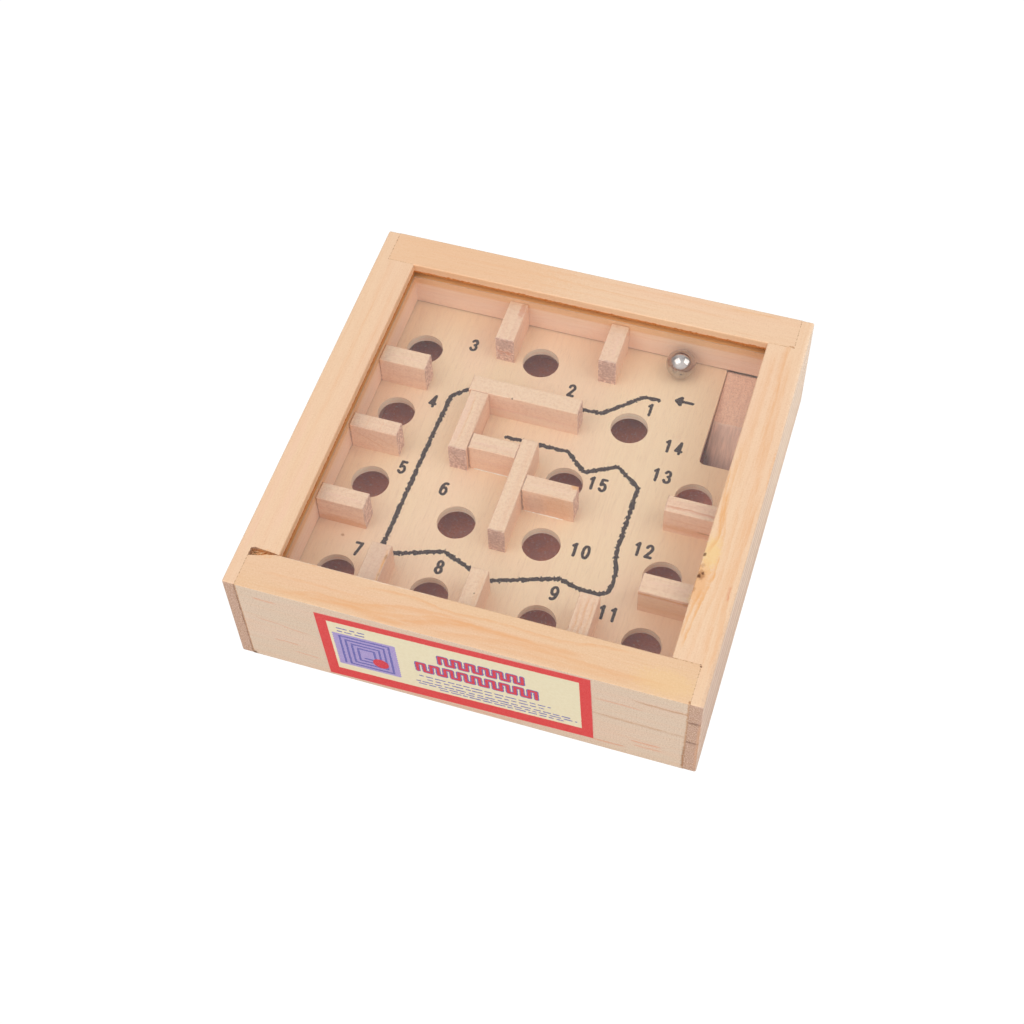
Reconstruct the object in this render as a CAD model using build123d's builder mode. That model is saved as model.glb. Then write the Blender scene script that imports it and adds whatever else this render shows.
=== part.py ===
from build123d import *
import os

# Tilt maze game: a square wooden tray with a clear lid, a playing board with drop holes,
# glued wall blocks and one steel ball. Millimetres, +X to the player's right, +Y away from
# the player, +Z up. The origin is the centre of the underside.
#
# Two side rails run the full depth and end in thin tongues. The front and back rails are
# glued between those tongues. Base, board and cover sit captive in grooves in all four rails.

# ---- Driving dimensions ----
case_side = 120.0
case_height = 33.4
front_rail_thickness = 11.0
back_rail_thickness = 10.2
left_rail_thickness = 10.7
right_rail_thickness = 10.4
tongue_thickness = 3.3
rail_arris = 0.4
tongue_end_arris = 0.6

# Grooves that hold the three panels. Each panel rests on its groove's lower face.
groove_depth = 4.0
panel_edge_gap = 0.5
base_bottom = 2.0
base_thickness = 3.0
base_groove_height = 3.2
board_bottom = 15.1
board_thickness = 2.4
board_groove_height = 2.8
cover_bottom = 27.6
cover_thickness = 2.0
cover_groove_height = 3.4

# Drop holes, and the slot in the back right corner where the ball climbs back on the board
hole_diameter = 10.0
slot_width = 9.7
slot_length = 32.3
slot_corner_radius = 1.6

# Return ramp under the slot: a steep sawn face, then a gentle one up to the board
ramp_side_gap = 0.1
ramp_length = 30.7
ramp_crease_from_back = 15.8
ramp_crease_below_board = 2.8
ramp_back_below_board = 0.3
ramp_tip_height = 0.4

# Wall blocks are all cut from one strip, so their height is the same
block_height = 9.1
block_arris = 0.2
glue_gap = 0.1

ball_diameter = 8.0
ball_clearance = 0.1
ball_start = (27.9, 45.2)

label_width = 69.6
label_height = 29.1
label_thickness = 0.12
label_centre = (-1.2, 17.0)
label_tilt = 2.1

# The lap joint at the front left has lost a splinter from both rails
splinter_depth = 1.8
splinter_outline = [
    (-56.7, -51.1),
    (-54.2, -50.5),
    (-52.1, -49.8),
    (-49.5, -49.0),
    (-51.9, -48.7),
    (-53.7, -48.6),
    (-55.7, -48.4),
    (-56.7, -48.8),
]

# ---- Values that follow from them ----
case_half = case_side / 2
opening_front = front_rail_thickness - case_half
opening_back = case_half - back_rail_thickness
opening_left = left_rail_thickness - case_half
opening_right = case_half - right_rail_thickness
shoulder_half = case_half - tongue_thickness
panel_overlap = groove_depth - panel_edge_gap
panel_width = opening_right - opening_left + 2 * panel_overlap
panel_length = opening_back - opening_front + 2 * panel_overlap
panel_centre = ((opening_left + opening_right) / 2, (opening_front + opening_back) / 2)
base_top = base_bottom + base_thickness
board_top = board_bottom + board_thickness
slot_left = opening_right - slot_width
slot_front = opening_back - slot_length
panel_grooves = [
    (base_bottom, base_groove_height),
    (board_bottom, board_groove_height),
    (cover_bottom, cover_groove_height),
]

# Centres of the round drop holes, by the number printed beside each. Number 14 is the slot.
drop_holes = {
    1: (19.6, 23.5),
    2: (-9.5, 38.1),
    3: (-41.6, 33.8),
    4: (-41.8, 11.1),
    5: (-40.6, -12.4),
    6: (-14.9, -18.2),
    7: (-39.6, -40.9),
    8: (-14.6, -40.7),
    9: (13.6, -40.7),
    10: (8.0, -18.4),
    11: (40.1, -39.6),
    12: (40.0, -19.5),
    13: (41.6, 5.9),
    15: (8.1, 1.4),
}

# Wall blocks: left, right, front and back edge of each, hand-cut and glued to the board.
# A block that ends at a rail stops the glue gap short of it.
left_end = opening_left + glue_gap
right_end = opening_right - glue_gap
front_end = opening_front + glue_gap
back_end = opening_back - glue_gap
wall_blocks = {
    "back_block_left": (-21.6, -16.4, 36.1, back_end),
    "back_block_right": (7.2, 12.1, 36.5, back_end),
    "left_block_back": (left_end, -36.3, 20.2, 25.6),
    "left_block_middle": (left_end, -36.1, -2.7, 1.7),
    "left_block_front": (left_end, -36.4, -26.8, -21.7),
    "front_block_left": (-30.9, -25.5, front_end, -35.0),
    "front_block_middle": (-4.7, -0.1, front_end, -35.1),
    "front_block_right": (23.0, 28.1, front_end, -34.3),
    "right_block_back": (36.4, right_end, -5.4, -0.6),
    "right_block_front": (36.4, right_end, -30.1, -24.6),
    "centre_block_long": (-22.9, 7.0, 17.4, 22.3),
    "centre_block_left": (-22.2, -17.3, -1.9, 17.3),
    "centre_block_short": (-17.1, -4.5, -0.7, 4.1),
    "centre_block_middle": (-4.4, 0.0, -23.4, 5.9),
    "centre_block_right": (0.1, 13.9, -9.6, -4.6),
}


def add_rail(corner, inwards, along, length, thickness):
    """Extrudes a grooved rail from its outer bottom corner; the section looks inwards and up."""
    with BuildSketch(Plane(origin=corner, x_dir=inwards, z_dir=along)) as section:
        Rectangle(thickness, case_height, align=(Align.MIN, Align.MIN))
        fillet(section.vertices(), rail_arris)
        for bottom, height in panel_grooves:
            with Locations((thickness, bottom)):
                Rectangle(groove_depth, height, align=(Align.MAX, Align.MIN), mode=Mode.SUBTRACT)
    extrude(section.sketch, amount=length)


def cut_end_rebates():
    """Cuts both ends of a side rail down to their tongues, to take the front and back rails."""
    for end, thickness in ((-1, front_rail_thickness), (1, back_rail_thickness)):
        with Locations((0, end * case_half, 0)):
            Box(
                2 * shoulder_half,
                thickness,
                case_height,
                align=(Align.CENTER, Align.MIN if end < 0 else Align.MAX, Align.MIN),
                mode=Mode.SUBTRACT,
            )


def break_out_splinter():
    """Takes the lost splinter out of a rail's upper face."""
    with BuildSketch(Plane.XY.offset(case_height - splinter_depth)) as splinter:
        with BuildLine():
            Polyline(*splinter_outline, close=True)
        make_face()
    extrude(splinter.sketch, amount=splinter_depth, mode=Mode.SUBTRACT)


def save(piece, name):
    """Labels a finished piece and writes it as the node of the same name."""
    piece.part.label = name
    export_step(piece.part, f"parts/{name}.step")


os.makedirs("parts", exist_ok=True)

# ---- Front and back rails, between the tongues ----
rail_length = 2 * shoulder_half
with BuildPart() as front_rail:
    add_rail((-shoulder_half, -case_half, 0), (0, 1, 0), (1, 0, 0), rail_length, front_rail_thickness)
    break_out_splinter()
save(front_rail, "front_rail")

with BuildPart() as back_rail:
    add_rail((shoulder_half, case_half, 0), (0, -1, 0), (-1, 0, 0), rail_length, back_rail_thickness)
save(back_rail, "back_rail")

# ---- Side rails, full depth, with a tongue at each end ----
with BuildPart() as right_rail:
    add_rail((case_half, -case_half, 0), (-1, 0, 0), (0, 1, 0), case_side, right_rail_thickness)
    cut_end_rebates()
    tongue_ends = right_rail.edges().filter_by(Axis.Z).group_by(Axis.X)[-1]
    fillet(tongue_ends, tongue_end_arris)
save(right_rail, "right_rail")

with BuildPart() as left_rail:
    add_rail((-case_half, case_half, 0), (1, 0, 0), (0, -1, 0), case_side, left_rail_thickness)
    cut_end_rebates()
    tongue_ends = left_rail.edges().filter_by(Axis.Z).group_by(Axis.X)[0]
    fillet(tongue_ends, tongue_end_arris)
    break_out_splinter()
save(left_rail, "left_rail")

# ---- Base panel, playing board and clear cover ----
with BuildPart() as base_panel:
    with BuildSketch(Plane.XY.offset(base_bottom)):
        with Locations(panel_centre):
            Rectangle(panel_width, panel_length)
    extrude(amount=base_thickness)
save(base_panel, "base_panel")

with BuildPart() as playing_board:
    with BuildSketch(Plane.XY.offset(board_bottom)) as board_outline:
        with Locations(panel_centre):
            Rectangle(panel_width, panel_length)
        with Locations((slot_left, slot_front)):
            Rectangle(slot_width * 2, slot_length * 2, align=(Align.MIN, Align.MIN), mode=Mode.SUBTRACT)
        slot_corner = board_outline.vertices().sort_by_distance((slot_left, slot_front, board_bottom))[0]
        fillet(slot_corner, slot_corner_radius)
        with Locations(*drop_holes.values()):
            Circle(hole_diameter / 2, mode=Mode.SUBTRACT)
    extrude(amount=board_thickness)
save(playing_board, "playing_board")

with BuildPart() as clear_cover:
    with BuildSketch(Plane.XY.offset(cover_bottom)):
        with Locations(panel_centre):
            Rectangle(panel_width, panel_length)
    extrude(amount=cover_thickness)
save(clear_cover, "clear_cover")

# ---- Return ramp ----
ramp_back = opening_back - ramp_side_gap
with BuildPart() as return_ramp:
    with BuildSketch(Plane.YZ.offset(slot_left + ramp_side_gap)):
        with BuildLine():
            Polyline(
                (ramp_back, base_top),
                (ramp_back, board_top - ramp_back_below_board),
                (ramp_back - ramp_crease_from_back, board_top - ramp_crease_below_board),
                (ramp_back - ramp_length, base_top + ramp_tip_height),
                (ramp_back - ramp_length, base_top),
                close=True,
            )
        make_face()
    extrude(amount=slot_width - 2 * ramp_side_gap)
save(return_ramp, "return_ramp")

# ---- Wall blocks ----
for name, (left, right, front, back) in wall_blocks.items():
    with BuildPart() as block:
        with BuildSketch(Plane.XY.offset(board_top)):
            with Locations(((left + right) / 2, (front + back) / 2)):
                Rectangle(right - left, back - front)
        extrude(amount=block_height)
        chamfer(block.faces().sort_by(Axis.Z)[-1].edges(), block_arris)
    save(block, name)

# ---- Steel ball, at the start of the track ----
with BuildPart() as steel_ball:
    with Locations((*ball_start, board_top + ball_clearance + ball_diameter / 2)):
        Sphere(ball_diameter / 2)
save(steel_ball, "steel_ball")

# ---- Paper label, stuck slightly crooked on the front rail ----
label_plane = Plane(
    origin=(label_centre[0], -case_half, label_centre[1]), x_dir=(1, 0, 0), z_dir=(0, -1, 0)
)
with BuildPart() as front_label:
    with BuildSketch(label_plane):
        Rectangle(label_width, label_height, rotation=label_tilt)
    extrude(amount=label_thickness)
save(front_label, "front_label")
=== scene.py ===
import math

import bmesh
import bpy
import numpy as np
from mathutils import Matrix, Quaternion, Vector


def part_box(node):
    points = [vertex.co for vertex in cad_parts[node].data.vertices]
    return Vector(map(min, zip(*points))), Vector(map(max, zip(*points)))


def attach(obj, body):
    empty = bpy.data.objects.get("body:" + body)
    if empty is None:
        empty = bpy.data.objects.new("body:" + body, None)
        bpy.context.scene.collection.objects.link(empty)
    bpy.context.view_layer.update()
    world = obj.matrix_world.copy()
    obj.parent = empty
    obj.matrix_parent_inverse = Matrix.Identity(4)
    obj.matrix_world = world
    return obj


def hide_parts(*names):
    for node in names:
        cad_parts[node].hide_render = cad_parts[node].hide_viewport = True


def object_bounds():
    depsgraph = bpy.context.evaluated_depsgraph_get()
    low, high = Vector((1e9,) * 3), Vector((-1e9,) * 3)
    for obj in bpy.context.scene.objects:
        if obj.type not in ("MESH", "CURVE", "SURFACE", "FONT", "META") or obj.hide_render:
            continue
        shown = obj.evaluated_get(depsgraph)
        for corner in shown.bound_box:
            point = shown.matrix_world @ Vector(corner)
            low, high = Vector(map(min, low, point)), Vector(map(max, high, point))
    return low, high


# A small wooden tilt maze game, dressed around its CAD frame. Blender works in metres; sizes in
# this script are millimetres until MM turns them into metres, apart from the camera and lights.
MM = 0.001

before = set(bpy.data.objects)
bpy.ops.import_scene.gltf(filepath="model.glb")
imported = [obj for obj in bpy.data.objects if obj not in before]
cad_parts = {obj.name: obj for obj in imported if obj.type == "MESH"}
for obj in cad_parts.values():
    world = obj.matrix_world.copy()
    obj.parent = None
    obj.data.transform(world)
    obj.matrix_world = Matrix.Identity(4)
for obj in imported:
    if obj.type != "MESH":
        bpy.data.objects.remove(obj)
cad_low, cad_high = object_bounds()

BODY_CASE = "case"


def box_mm(node):
    """A CAD node's lowest and highest corner, in millimetres."""
    low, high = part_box(node)
    return low / MM, high / MM


# The opening that the four rails leave, and the line of the glued joints near the corners
OPEN_LEFT = box_mm("left_rail")[1].x
OPEN_RIGHT = box_mm("right_rail")[0].x
OPEN_FRONT = box_mm("front_rail")[1].y
OPEN_BACK = box_mm("back_rail")[0].y
JOINT_X = box_mm("front_rail")[1].x
BOARD_TOP = box_mm("playing_board")[1].z
COVER_LOW = box_mm("clear_cover")[0].z
COVER_TOP = box_mm("clear_cover")[1].z
LIP_ABOVE_COVER = 1.4
LIP_LOW = COVER_TOP + LIP_ABOVE_COVER


# ---------------------------------------------------------------- camera, light and floor

CAMERA_AZIMUTH = 20.066
CAMERA_ELEVATION = 55.769
CAMERA_ROLL = -2.912
CAMERA_LENS = 61.127
CAMERA_DISTANCE = 0.44576
CAMERA_TARGET = (-0.00173, -0.01212, 0.020)

# Each softbox: direction, side in metres, watts
SOFTBOXES = {
    "softbox_left": ((-0.40, -0.30, 0.87), 0.78, 3.16),
    "softbox_right": ((0.67, 0.0, 0.74), 0.70, 2.86),
}
SOFTBOX_DISTANCE = 1.1
SURROUND = 0.36
SURROUND_TINT = (0.98, 1.0, 1.03, 1.0)
# Brighter parts of the room: direction, cosine where the glow starts, added strength
GLOWS = [((-0.193, 0.528, 0.827), 0.78, 0.50), ((0.12, -0.86, 0.50), 0.15, 0.80)]
GLOW_FULL = 0.97
FLOOR_SIZE = 4.0
FLOOR_GAP = 0.00005
FLOOR_GLOW = 1.05


def add_camera():
    """The photograph's viewing angle: from above, a little to the player's right."""
    data = bpy.data.cameras.new("camera")
    data.lens = CAMERA_LENS
    data.clip_start = 0.01
    camera = bpy.data.objects.new("camera", data)
    bpy.context.scene.collection.objects.link(camera)
    azimuth, elevation = math.radians(CAMERA_AZIMUTH), math.radians(CAMERA_ELEVATION)
    back = Vector((
        math.sin(azimuth) * math.cos(elevation),
        -math.cos(azimuth) * math.cos(elevation),
        math.sin(elevation),
    ))
    camera.location = Vector(CAMERA_TARGET) + back * CAMERA_DISTANCE
    camera.rotation_mode = "QUATERNION"
    level = (-back).to_track_quat("-Z", "Y")
    camera.rotation_quaternion = level @ Quaternion((0, 0, 1), math.radians(CAMERA_ROLL))
    bpy.context.scene.camera = camera


def add_softbox(name, direction, side, watts):
    """A square area light that faces the game from a direction."""
    data = bpy.data.lights.new(name, "AREA")
    data.shape = "SQUARE"
    data.size = side
    data.energy = watts
    light = bpy.data.objects.new(name, data)
    bpy.context.scene.collection.objects.link(light)
    away = Vector(direction).normalized()
    light.location = away * SOFTBOX_DISTANCE
    light.rotation_mode = "QUATERNION"
    light.rotation_quaternion = (-away).to_track_quat("-Z", "Y")


def add_surround():
    """A dim pale room, brighter in a patch high up at the back and on the player's side."""
    world = bpy.data.worlds.new("studio")
    world.use_nodes = True
    bpy.context.scene.world = world
    nodes, links = world.node_tree.nodes, world.node_tree.links
    background = nodes["Background"]
    background.inputs["Color"].default_value = SURROUND_TINT
    place = nodes.new("ShaderNodeTexCoord").outputs["Generated"]
    total = None
    for direction, start, strength in GLOWS:
        facing = nodes.new("ShaderNodeVectorMath")
        facing.operation = "DOT_PRODUCT"
        facing.inputs[1].default_value = direction
        glow = nodes.new("ShaderNodeMapRange")
        glow.interpolation_type = "SMOOTHSTEP"
        for socket, value in ((1, start), (2, GLOW_FULL), (3, 0.0 if total else SURROUND)):
            glow.inputs[socket].default_value = value
        glow.inputs[4].default_value = glow.inputs[3].default_value + strength
        links.new(place, facing.inputs[0])
        links.new(facing.outputs["Value"], glow.inputs["Value"])
        if total is None:
            total = glow.outputs[0]
        else:
            both = nodes.new("ShaderNodeMath")
            links.new(total, both.inputs[0])
            links.new(glow.outputs[0], both.inputs[1])
            total = both.outputs[0]
    links.new(total, background.inputs["Strength"])


def add_studio():
    """Two softboxes, a dim surround and a plain white floor, which the camera sees as clear white."""
    for name, box in SOFTBOXES.items():
        add_softbox(name, *box)
    add_surround()
    bpy.ops.mesh.primitive_plane_add(size=FLOOR_SIZE, location=(0, 0, cad_low.z - FLOOR_GAP))
    floor = bpy.context.object
    floor.name = "floor"
    graph = Graph("floor_white")
    paper = graph.node("BsdfDiffuse", {"Color": rgb(0.9, 0.9, 0.9)})
    white = graph.node("Emission", {"Color": rgb(1.0, 1.0, 1.0), "Strength": FLOOR_GLOW})
    seen = graph.node("LightPath").outputs["Is Camera Ray"]
    mixed = graph.node("MixShader", {0: seen, 1: paper.outputs[0], 2: white.outputs[0]})
    graph.show(mixed)
    floor.data.materials.append(graph.material)
    bpy.context.scene.view_settings.view_transform = "Standard"


# ---------------------------------------------------------------- shader graph helper

# A face to draw on: its normal's axis and sign, the axis along the line and the one across it
FACES = {
    "top_x": (2, 1, 0, 1), "top_y": (2, 1, 1, 0), "front": (1, -1, 0, 2), "right": (0, 1, 1, 2),
    "front_up": (1, -1, 2, 0), "back": (1, 1, 0, 2),
}


class Graph:
    """A material's node tree, built with short calls. Arguments may be sockets or numbers."""

    def __init__(self, name):
        self.material = bpy.data.materials.new(name)
        self.material.use_nodes = True
        self.tree = self.material.node_tree
        self.tree.nodes.clear()
        self.output = self.tree.nodes.new("ShaderNodeOutputMaterial")
        self.faced = {}

    def node(self, kind, inputs=(), **settings):
        made = self.tree.nodes.new("ShaderNode" + kind)
        for key, value in settings.items():
            setattr(made, key, value)
        for key, value in dict(inputs).items():
            self.feed(made.inputs[key], value)
        return made

    def feed(self, socket, value):
        if isinstance(value, bpy.types.NodeSocket):
            self.tree.links.new(value, socket)
        else:
            socket.default_value = value

    def math(self, operation, a, b=0.0):
        return self.node("Math", {0: a, 1: b}, operation=operation).outputs[0]

    def chain(self, operation, terms):
        total = terms[0]
        for term in terms[1:]:
            total = self.math(operation, total, term)
        return total

    def largest(self, *terms):
        return self.chain("MAXIMUM", terms)

    def smallest(self, *terms):
        return self.chain("MINIMUM", terms)

    def absolute(self, value):
        return self.math("ABSOLUTE", value)

    def add(self, *terms):
        return self.chain("ADD", terms)

    def times(self, *terms):
        return self.chain("MULTIPLY", terms)

    def minus(self, a, b):
        return self.math("SUBTRACT", a, b)

    def size(self, *terms):
        """The length of a vector given by its components."""
        return self.math("SQRT", self.add(*[self.times(t, t) for t in terms]))

    def away(self, value, middle):
        """The distance of a value from a middle."""
        return self.absolute(self.minus(value, middle))

    def vector(self, x, y, z):
        return self.node("CombineXYZ", {0: x, 1: y, 2: z}).outputs[0]

    def split(self, vector):
        return self.node("SeparateXYZ", {0: vector}).outputs

    def noise(self, vector, detail=2.0, roughness=0.5):
        inputs = {"Vector": vector, "Scale": 1.0, "Detail": detail, "Roughness": roughness}
        return self.node("TexNoise", inputs).outputs[0]

    def grain(self, place, scales, seed=0.0, detail=2.0, roughness=0.5):
        """Noise with one scale, or with its own scale along each axis."""
        scales = scales if isinstance(scales, tuple) else (scales,) * 3
        x, y, z = (self.times(p, s) for p, s in zip(place, scales))
        return self.noise(self.vector(x, y, self.add(z, seed)), detail, roughness)

    def step(self, value, low, high, to_low=0.0, to_high=1.0):
        """A smooth step from low to high, turned into to_low to to_high."""
        inputs = {"Value": value, 1: low, 2: high, 3: to_low, 4: to_high}
        made = self.node("MapRange", inputs, interpolation_type="SMOOTHSTEP", clamp=True)
        return made.outputs[0]

    def mix(self, share, a, b, blend="MIX"):
        made = self.node("Mix", data_type="RGBA", blend_type=blend)
        self.feed(made.inputs[0], share)
        self.feed(made.inputs[6], a)
        self.feed(made.inputs[7], b)
        return made.outputs[2]

    def tint(self, colour, value, low, high, share, tone, blend="MIX"):
        """Mixes up to a share of a tone into a colour, as a value steps from low to high."""
        return self.mix(self.step(value, low, high, 0.0, share), colour, tone, blend)

    def place_mm(self):
        """The point in the CAD frame, in millimetres, as x, y, z sockets."""
        coordinates = self.node("TexCoord").outputs["Object"]
        scaled = self.node("VectorMath", {0: coordinates, "Scale": 1 / MM}, operation="SCALE")
        return self.split(scaled.outputs[0])

    def normal(self):
        return self.split(self.node("TexCoord").outputs["Normal"])

    def facing(self, face):
        """One where the surface faces the same way as a named face, else zero."""
        axis, sign = FACES[face][:2]
        if (axis, sign) not in self.faced:
            self.faced[axis, sign] = self.step(self.normal()[axis], 0.6 * sign, 0.85 * sign)
        return self.faced[axis, sign]

    def curve(self, value, points):
        """A smooth curve through given (input, output) points, and how far along it is."""
        low, high = points[0][0], points[-1][0]
        share = self.node("MapRange", {"Value": value, 1: low, 2: high}).outputs[0]
        made = self.node("FloatCurve", {"Value": share})
        made.mapping.use_clip = False
        drawn = made.mapping.curves[0].points
        places = [((x - low) / (high - low), y) for x, y in points]
        drawn[0].location, drawn[1].location = places[0], places[-1]
        for x, y in places[1:-1]:
            drawn.new(x, y)
        made.mapping.update()
        return made.outputs[0], share

    def line(self, place, face, points, width):
        """A drawn line on a face: sharp on one side, three times as soft on the other."""
        run, cross = (place[i] for i in FACES[face][2:])
        middle, share = self.curve(run, points)
        offset = self.minus(cross, middle)
        band = self.times(self.step(offset, -2.4 * width, 0.0), self.step(offset, 0.8 * width, 0.0))
        ends = self.step(self.away(share, 0.5), 0.5, 0.28)
        return self.times(band, ends, self.facing(face))

    def blob(self, point, centre, radii, ragged):
        """A soft patch round a point, with a ragged outline."""
        gap = self.node("VectorMath", {0: point, 1: centre}, operation="SUBTRACT").outputs[0]
        scaled = self.node("VectorMath", {0: gap, 1: radii}, operation="DIVIDE").outputs[0]
        length = self.node("VectorMath", {0: scaled}, operation="LENGTH").outputs["Value"]
        return self.step(self.add(length, ragged), 1.2, 0.45)

    def bump(self, height, strength, distance_mm):
        inputs = {"Height": height, "Strength": strength, "Distance": distance_mm * MM}
        return self.node("Bump", inputs).outputs[0]

    def show(self, shader):
        """Shows a shader on the surface."""
        self.tree.links.new(shader.outputs[0], self.output.inputs["Surface"])

    def coat(self, colour, roughness, normal, specular=0.5, metal=0.0):
        """A coloured surface. Returns the material."""
        self.show(self.node("BsdfPrincipled", {
            "Base Color": colour,
            "Roughness": roughness,
            "Normal": normal,
            "Specular IOR Level": specular,
            "Metallic": metal,
        }))
        return self.material


def rgb(red, green, blue):
    return (red, green, blue, 1.0)


def dress(node, material):
    """Gives every face of a CAD node one material."""
    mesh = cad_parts[node].data
    mesh.materials.clear()
    mesh.materials.append(material)


# ---------------------------------------------------------------- wood

# Tones of the marks: stains, and the tones of painted light and shade
STAINS_AND_SHADING = {
    "peach": rgb(0.75, 0.370, 0.160),
    "pink": rgb(0.84, 0.515, 0.390),
    "red": rgb(0.66, 0.270, 0.150),
    "orange": rgb(0.76, 0.350, 0.110),
    "yellow": rgb(0.83, 0.560, 0.240),
    "pale": rgb(0.93, 0.730, 0.550),
    "mauve": rgb(0.50, 0.310, 0.240),
    "brown": rgb(0.44, 0.200, 0.085),
    "dark": rgb(0.13, 0.050, 0.022),
}
# Painted shade of the gap just under a rail's lip, and painted warm bounce light in the groove under the
# cover
LIP_GAP_SHADE = rgb(0.36, 0.090, 0.015)
GROOVE_BOUNCE_LIGHT = rgb(0.95, 0.450, 0.170)

# The inner tone, on rail faces that look into the case, is lighter than the top as painted light for the
# shaded inside
PINE = {
    "early": rgb(0.812, 0.555, 0.360), "late": rgb(0.740, 0.410, 0.220), "side": rgb(0.670, 0.523, 0.392),
    "inner": rgb(0.940, 0.660, 0.475), "end": rgb(0.420, 0.235, 0.150), "end_light": rgb(0.65, 0.45, 0.33),
}
FRONT_PINE = dict(PINE, early=rgb(0.775, 0.510, 0.308))
RIGHT_PINE = dict(PINE, early=rgb(0.825, 0.572, 0.372), side=rgb(0.770, 0.585, 0.440))
JOINT_TONE = rgb(0.36, 0.185, 0.090)
# How quickly a glue line thins out past its end
JOINT_FADE = 9.0
LIP_TONE = rgb(0.90, 0.600, 0.370)
# How far from the middle, in x or y, a side face counts as facing outwards or into the case
OUTER_FROM = 54.0
INNER_TO = 52.0
# Painted shade, multiplied into a rail's inner face from the lip down to under the cover
COVER_SHADE = rgb(0.96, 0.860, 0.690)
# A block's side faces take a lighter tone than its top, as painted light
BLOCK = {
    "early": rgb(0.868, 0.605, 0.402), "late": rgb(0.760, 0.430, 0.280), "side": rgb(0.935, 0.630, 0.430),
    "inner": rgb(0.935, 0.630, 0.430), "end": rgb(0.580, 0.330, 0.250), "end_light": rgb(0.97, 0.70, 0.55),
}


def wood(name, along, pith, ring_gap, seed, tones, wander=2.0, ring_share=0.4, marks=(), rail=False,
         sanded=0.25, speckle=0.0):
    """Solid softwood: growth rings round a pith that runs along an axis, fibre streaks, pores,
    darker end grain, and the marks that are drawn on it."""
    graph = Graph(name)
    place = graph.place_mm()
    x, y, z = place
    normal = graph.normal()
    axis = "XYZ".index(along)
    others = [i for i in range(3) if i != axis]
    run, u, v = place[axis], place[others[0]], place[others[1]]
    shift = 37.0 * seed

    def stretched(run_scale, cross_scale, detail, roughness=0.5):
        """Noise drawn out along the grain."""
        return graph.grain((u, v, run), (cross_scale, cross_scale, run_scale), shift, detail, roughness)

    wave = graph.times(graph.minus(stretched(0.016, 0.05, 2.0), 0.5), wander)
    radius = graph.add(graph.size(graph.minus(u, pith[0]), graph.minus(v, pith[1])), wave)
    ring = late_wood(graph, graph.math("DIVIDE", radius, ring_gap), shift)

    fibre = stretched(0.06, 2.4, 3.0)
    fine = stretched(0.30, 7.5, 2.0)
    patch = stretched(0.02, 0.10, 1.0)
    pores = graph.grain(place, 2.6, shift, 3.0, 0.65)
    side = graph.step(graph.absolute(normal[2]), 0.85, 0.5)
    ring_strength = graph.times(ring, graph.step(patch, 0.25, 0.7, 0.45, 1.0), ring_share)
    inner = graph.step(graph.largest(graph.absolute(x), graph.absolute(y)), OUTER_FROM, INNER_TO)
    early = graph.mix(side, tones["early"], graph.mix(inner, tones["side"], tones["inner"]))
    if rail:
        early = inside_of_rail(graph, z, graph.times(inner, side), early)
    colour = graph.mix(ring_strength, early, tones["late"])
    colour = graph.tint(colour, fibre, 0.45, 0.75, 0.22, tones["late"])
    colour = graph.tint(colour, patch, 0.35, 0.75, 0.16, STAINS_AND_SHADING["pink"])
    colour = graph.tint(colour, fine, 0.5, 0.75, 0.30, rgb(0.86, 0.78, 0.72), "MULTIPLY")
    colour = graph.tint(colour, pores, 0.50, 0.72, 0.42, rgb(0.84, 0.78, 0.74), "MULTIPLY")
    colour = graph.tint(colour, pores, 0.46, 0.28, 0.25, STAINS_AND_SHADING["pale"])

    if speckle:
        mottle = graph.grain(place, 1.4, shift + 5.0, 3.0, 0.65)
        colour = graph.tint(colour, mottle, 0.46, 0.62, speckle, rgb(0.82, 0.70, 0.62), "MULTIPLY")
    rough_side = graph.times(side, graph.minus(1.0, inner), graph.step(pores, 0.45, 0.62, 0.0, sanded))
    colour = graph.mix(rough_side, colour, rgb(0.76, 0.68, 0.60), "MULTIPLY")

    end_share = graph.step(graph.absolute(normal[axis]), 0.55, 0.85)
    cells = graph.grain(place, 2.4 if rail else 1.5, shift, 4.0, 0.75)
    colour = graph.mix(end_share, colour, end_grain(graph, cells, ring, tones))

    wobble = graph.minus(graph.grain(place, 0.5, shift, 2.0), 0.5)
    ragged = graph.times(graph.minus(graph.grain(place, 1.6, shift, 3.0, 0.6), 0.5), 1.3)
    broken = graph.times(graph.step(stretched(0.20, 1.1, 2.0), 0.28, 0.55, 0.50, 1.0),
                         graph.step(fine, 0.30, 0.62, 0.60, 1.0))
    shaken = [graph.add(p, graph.times(wobble, 0.7)) for p in place]
    point = graph.vector(*place)
    for mark in marks:
        colour = draw_mark(graph, point, ragged, shaken, broken, mark, colour)
    if rail:
        colour = graph.mix(joint_line(graph, place), colour, JOINT_TONE)
        colour = scorch_groove(graph, place, ragged, colour)

    height = graph.add(graph.times(fine, 0.5), graph.times(fibre, 0.4), graph.times(ring, 0.2),
                       graph.times(pores, 0.5))
    return graph.coat(
        colour, graph.step(fibre, 0.3, 0.7, 0.55, 0.70),
        graph.bump(height, 0.30, 0.06), specular=0.28)


def late_wood(graph, years, shift):
    """One in the dark late wood of each year's ring, and zero in its early wood."""
    uneven = graph.noise(graph.vector(graph.times(years, 0.7), shift, 0.0), 1.0)
    age = graph.math("FRACT", graph.add(years, graph.times(uneven, 1.3)))
    return graph.times(graph.step(age, 0.35, 0.90), graph.step(age, 1.0, 0.93))


def inside_of_rail(graph, z, inward, early):
    """A rail's inner face has a warmer lip, and painted shade makes it browner from the lip down to under the
    cover.
    """
    early = graph.mix(graph.times(inward, graph.step(z, LIP_LOW - 0.1, LIP_LOW)), early, LIP_TONE)
    near_cover = graph.step(z, COVER_LOW - 2.9, COVER_LOW - 1.9)
    shade = graph.times(inward, near_cover, graph.step(z, LIP_LOW, LIP_LOW - 0.1))
    return graph.mix(shade, early, COVER_SHADE, "MULTIPLY")


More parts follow.
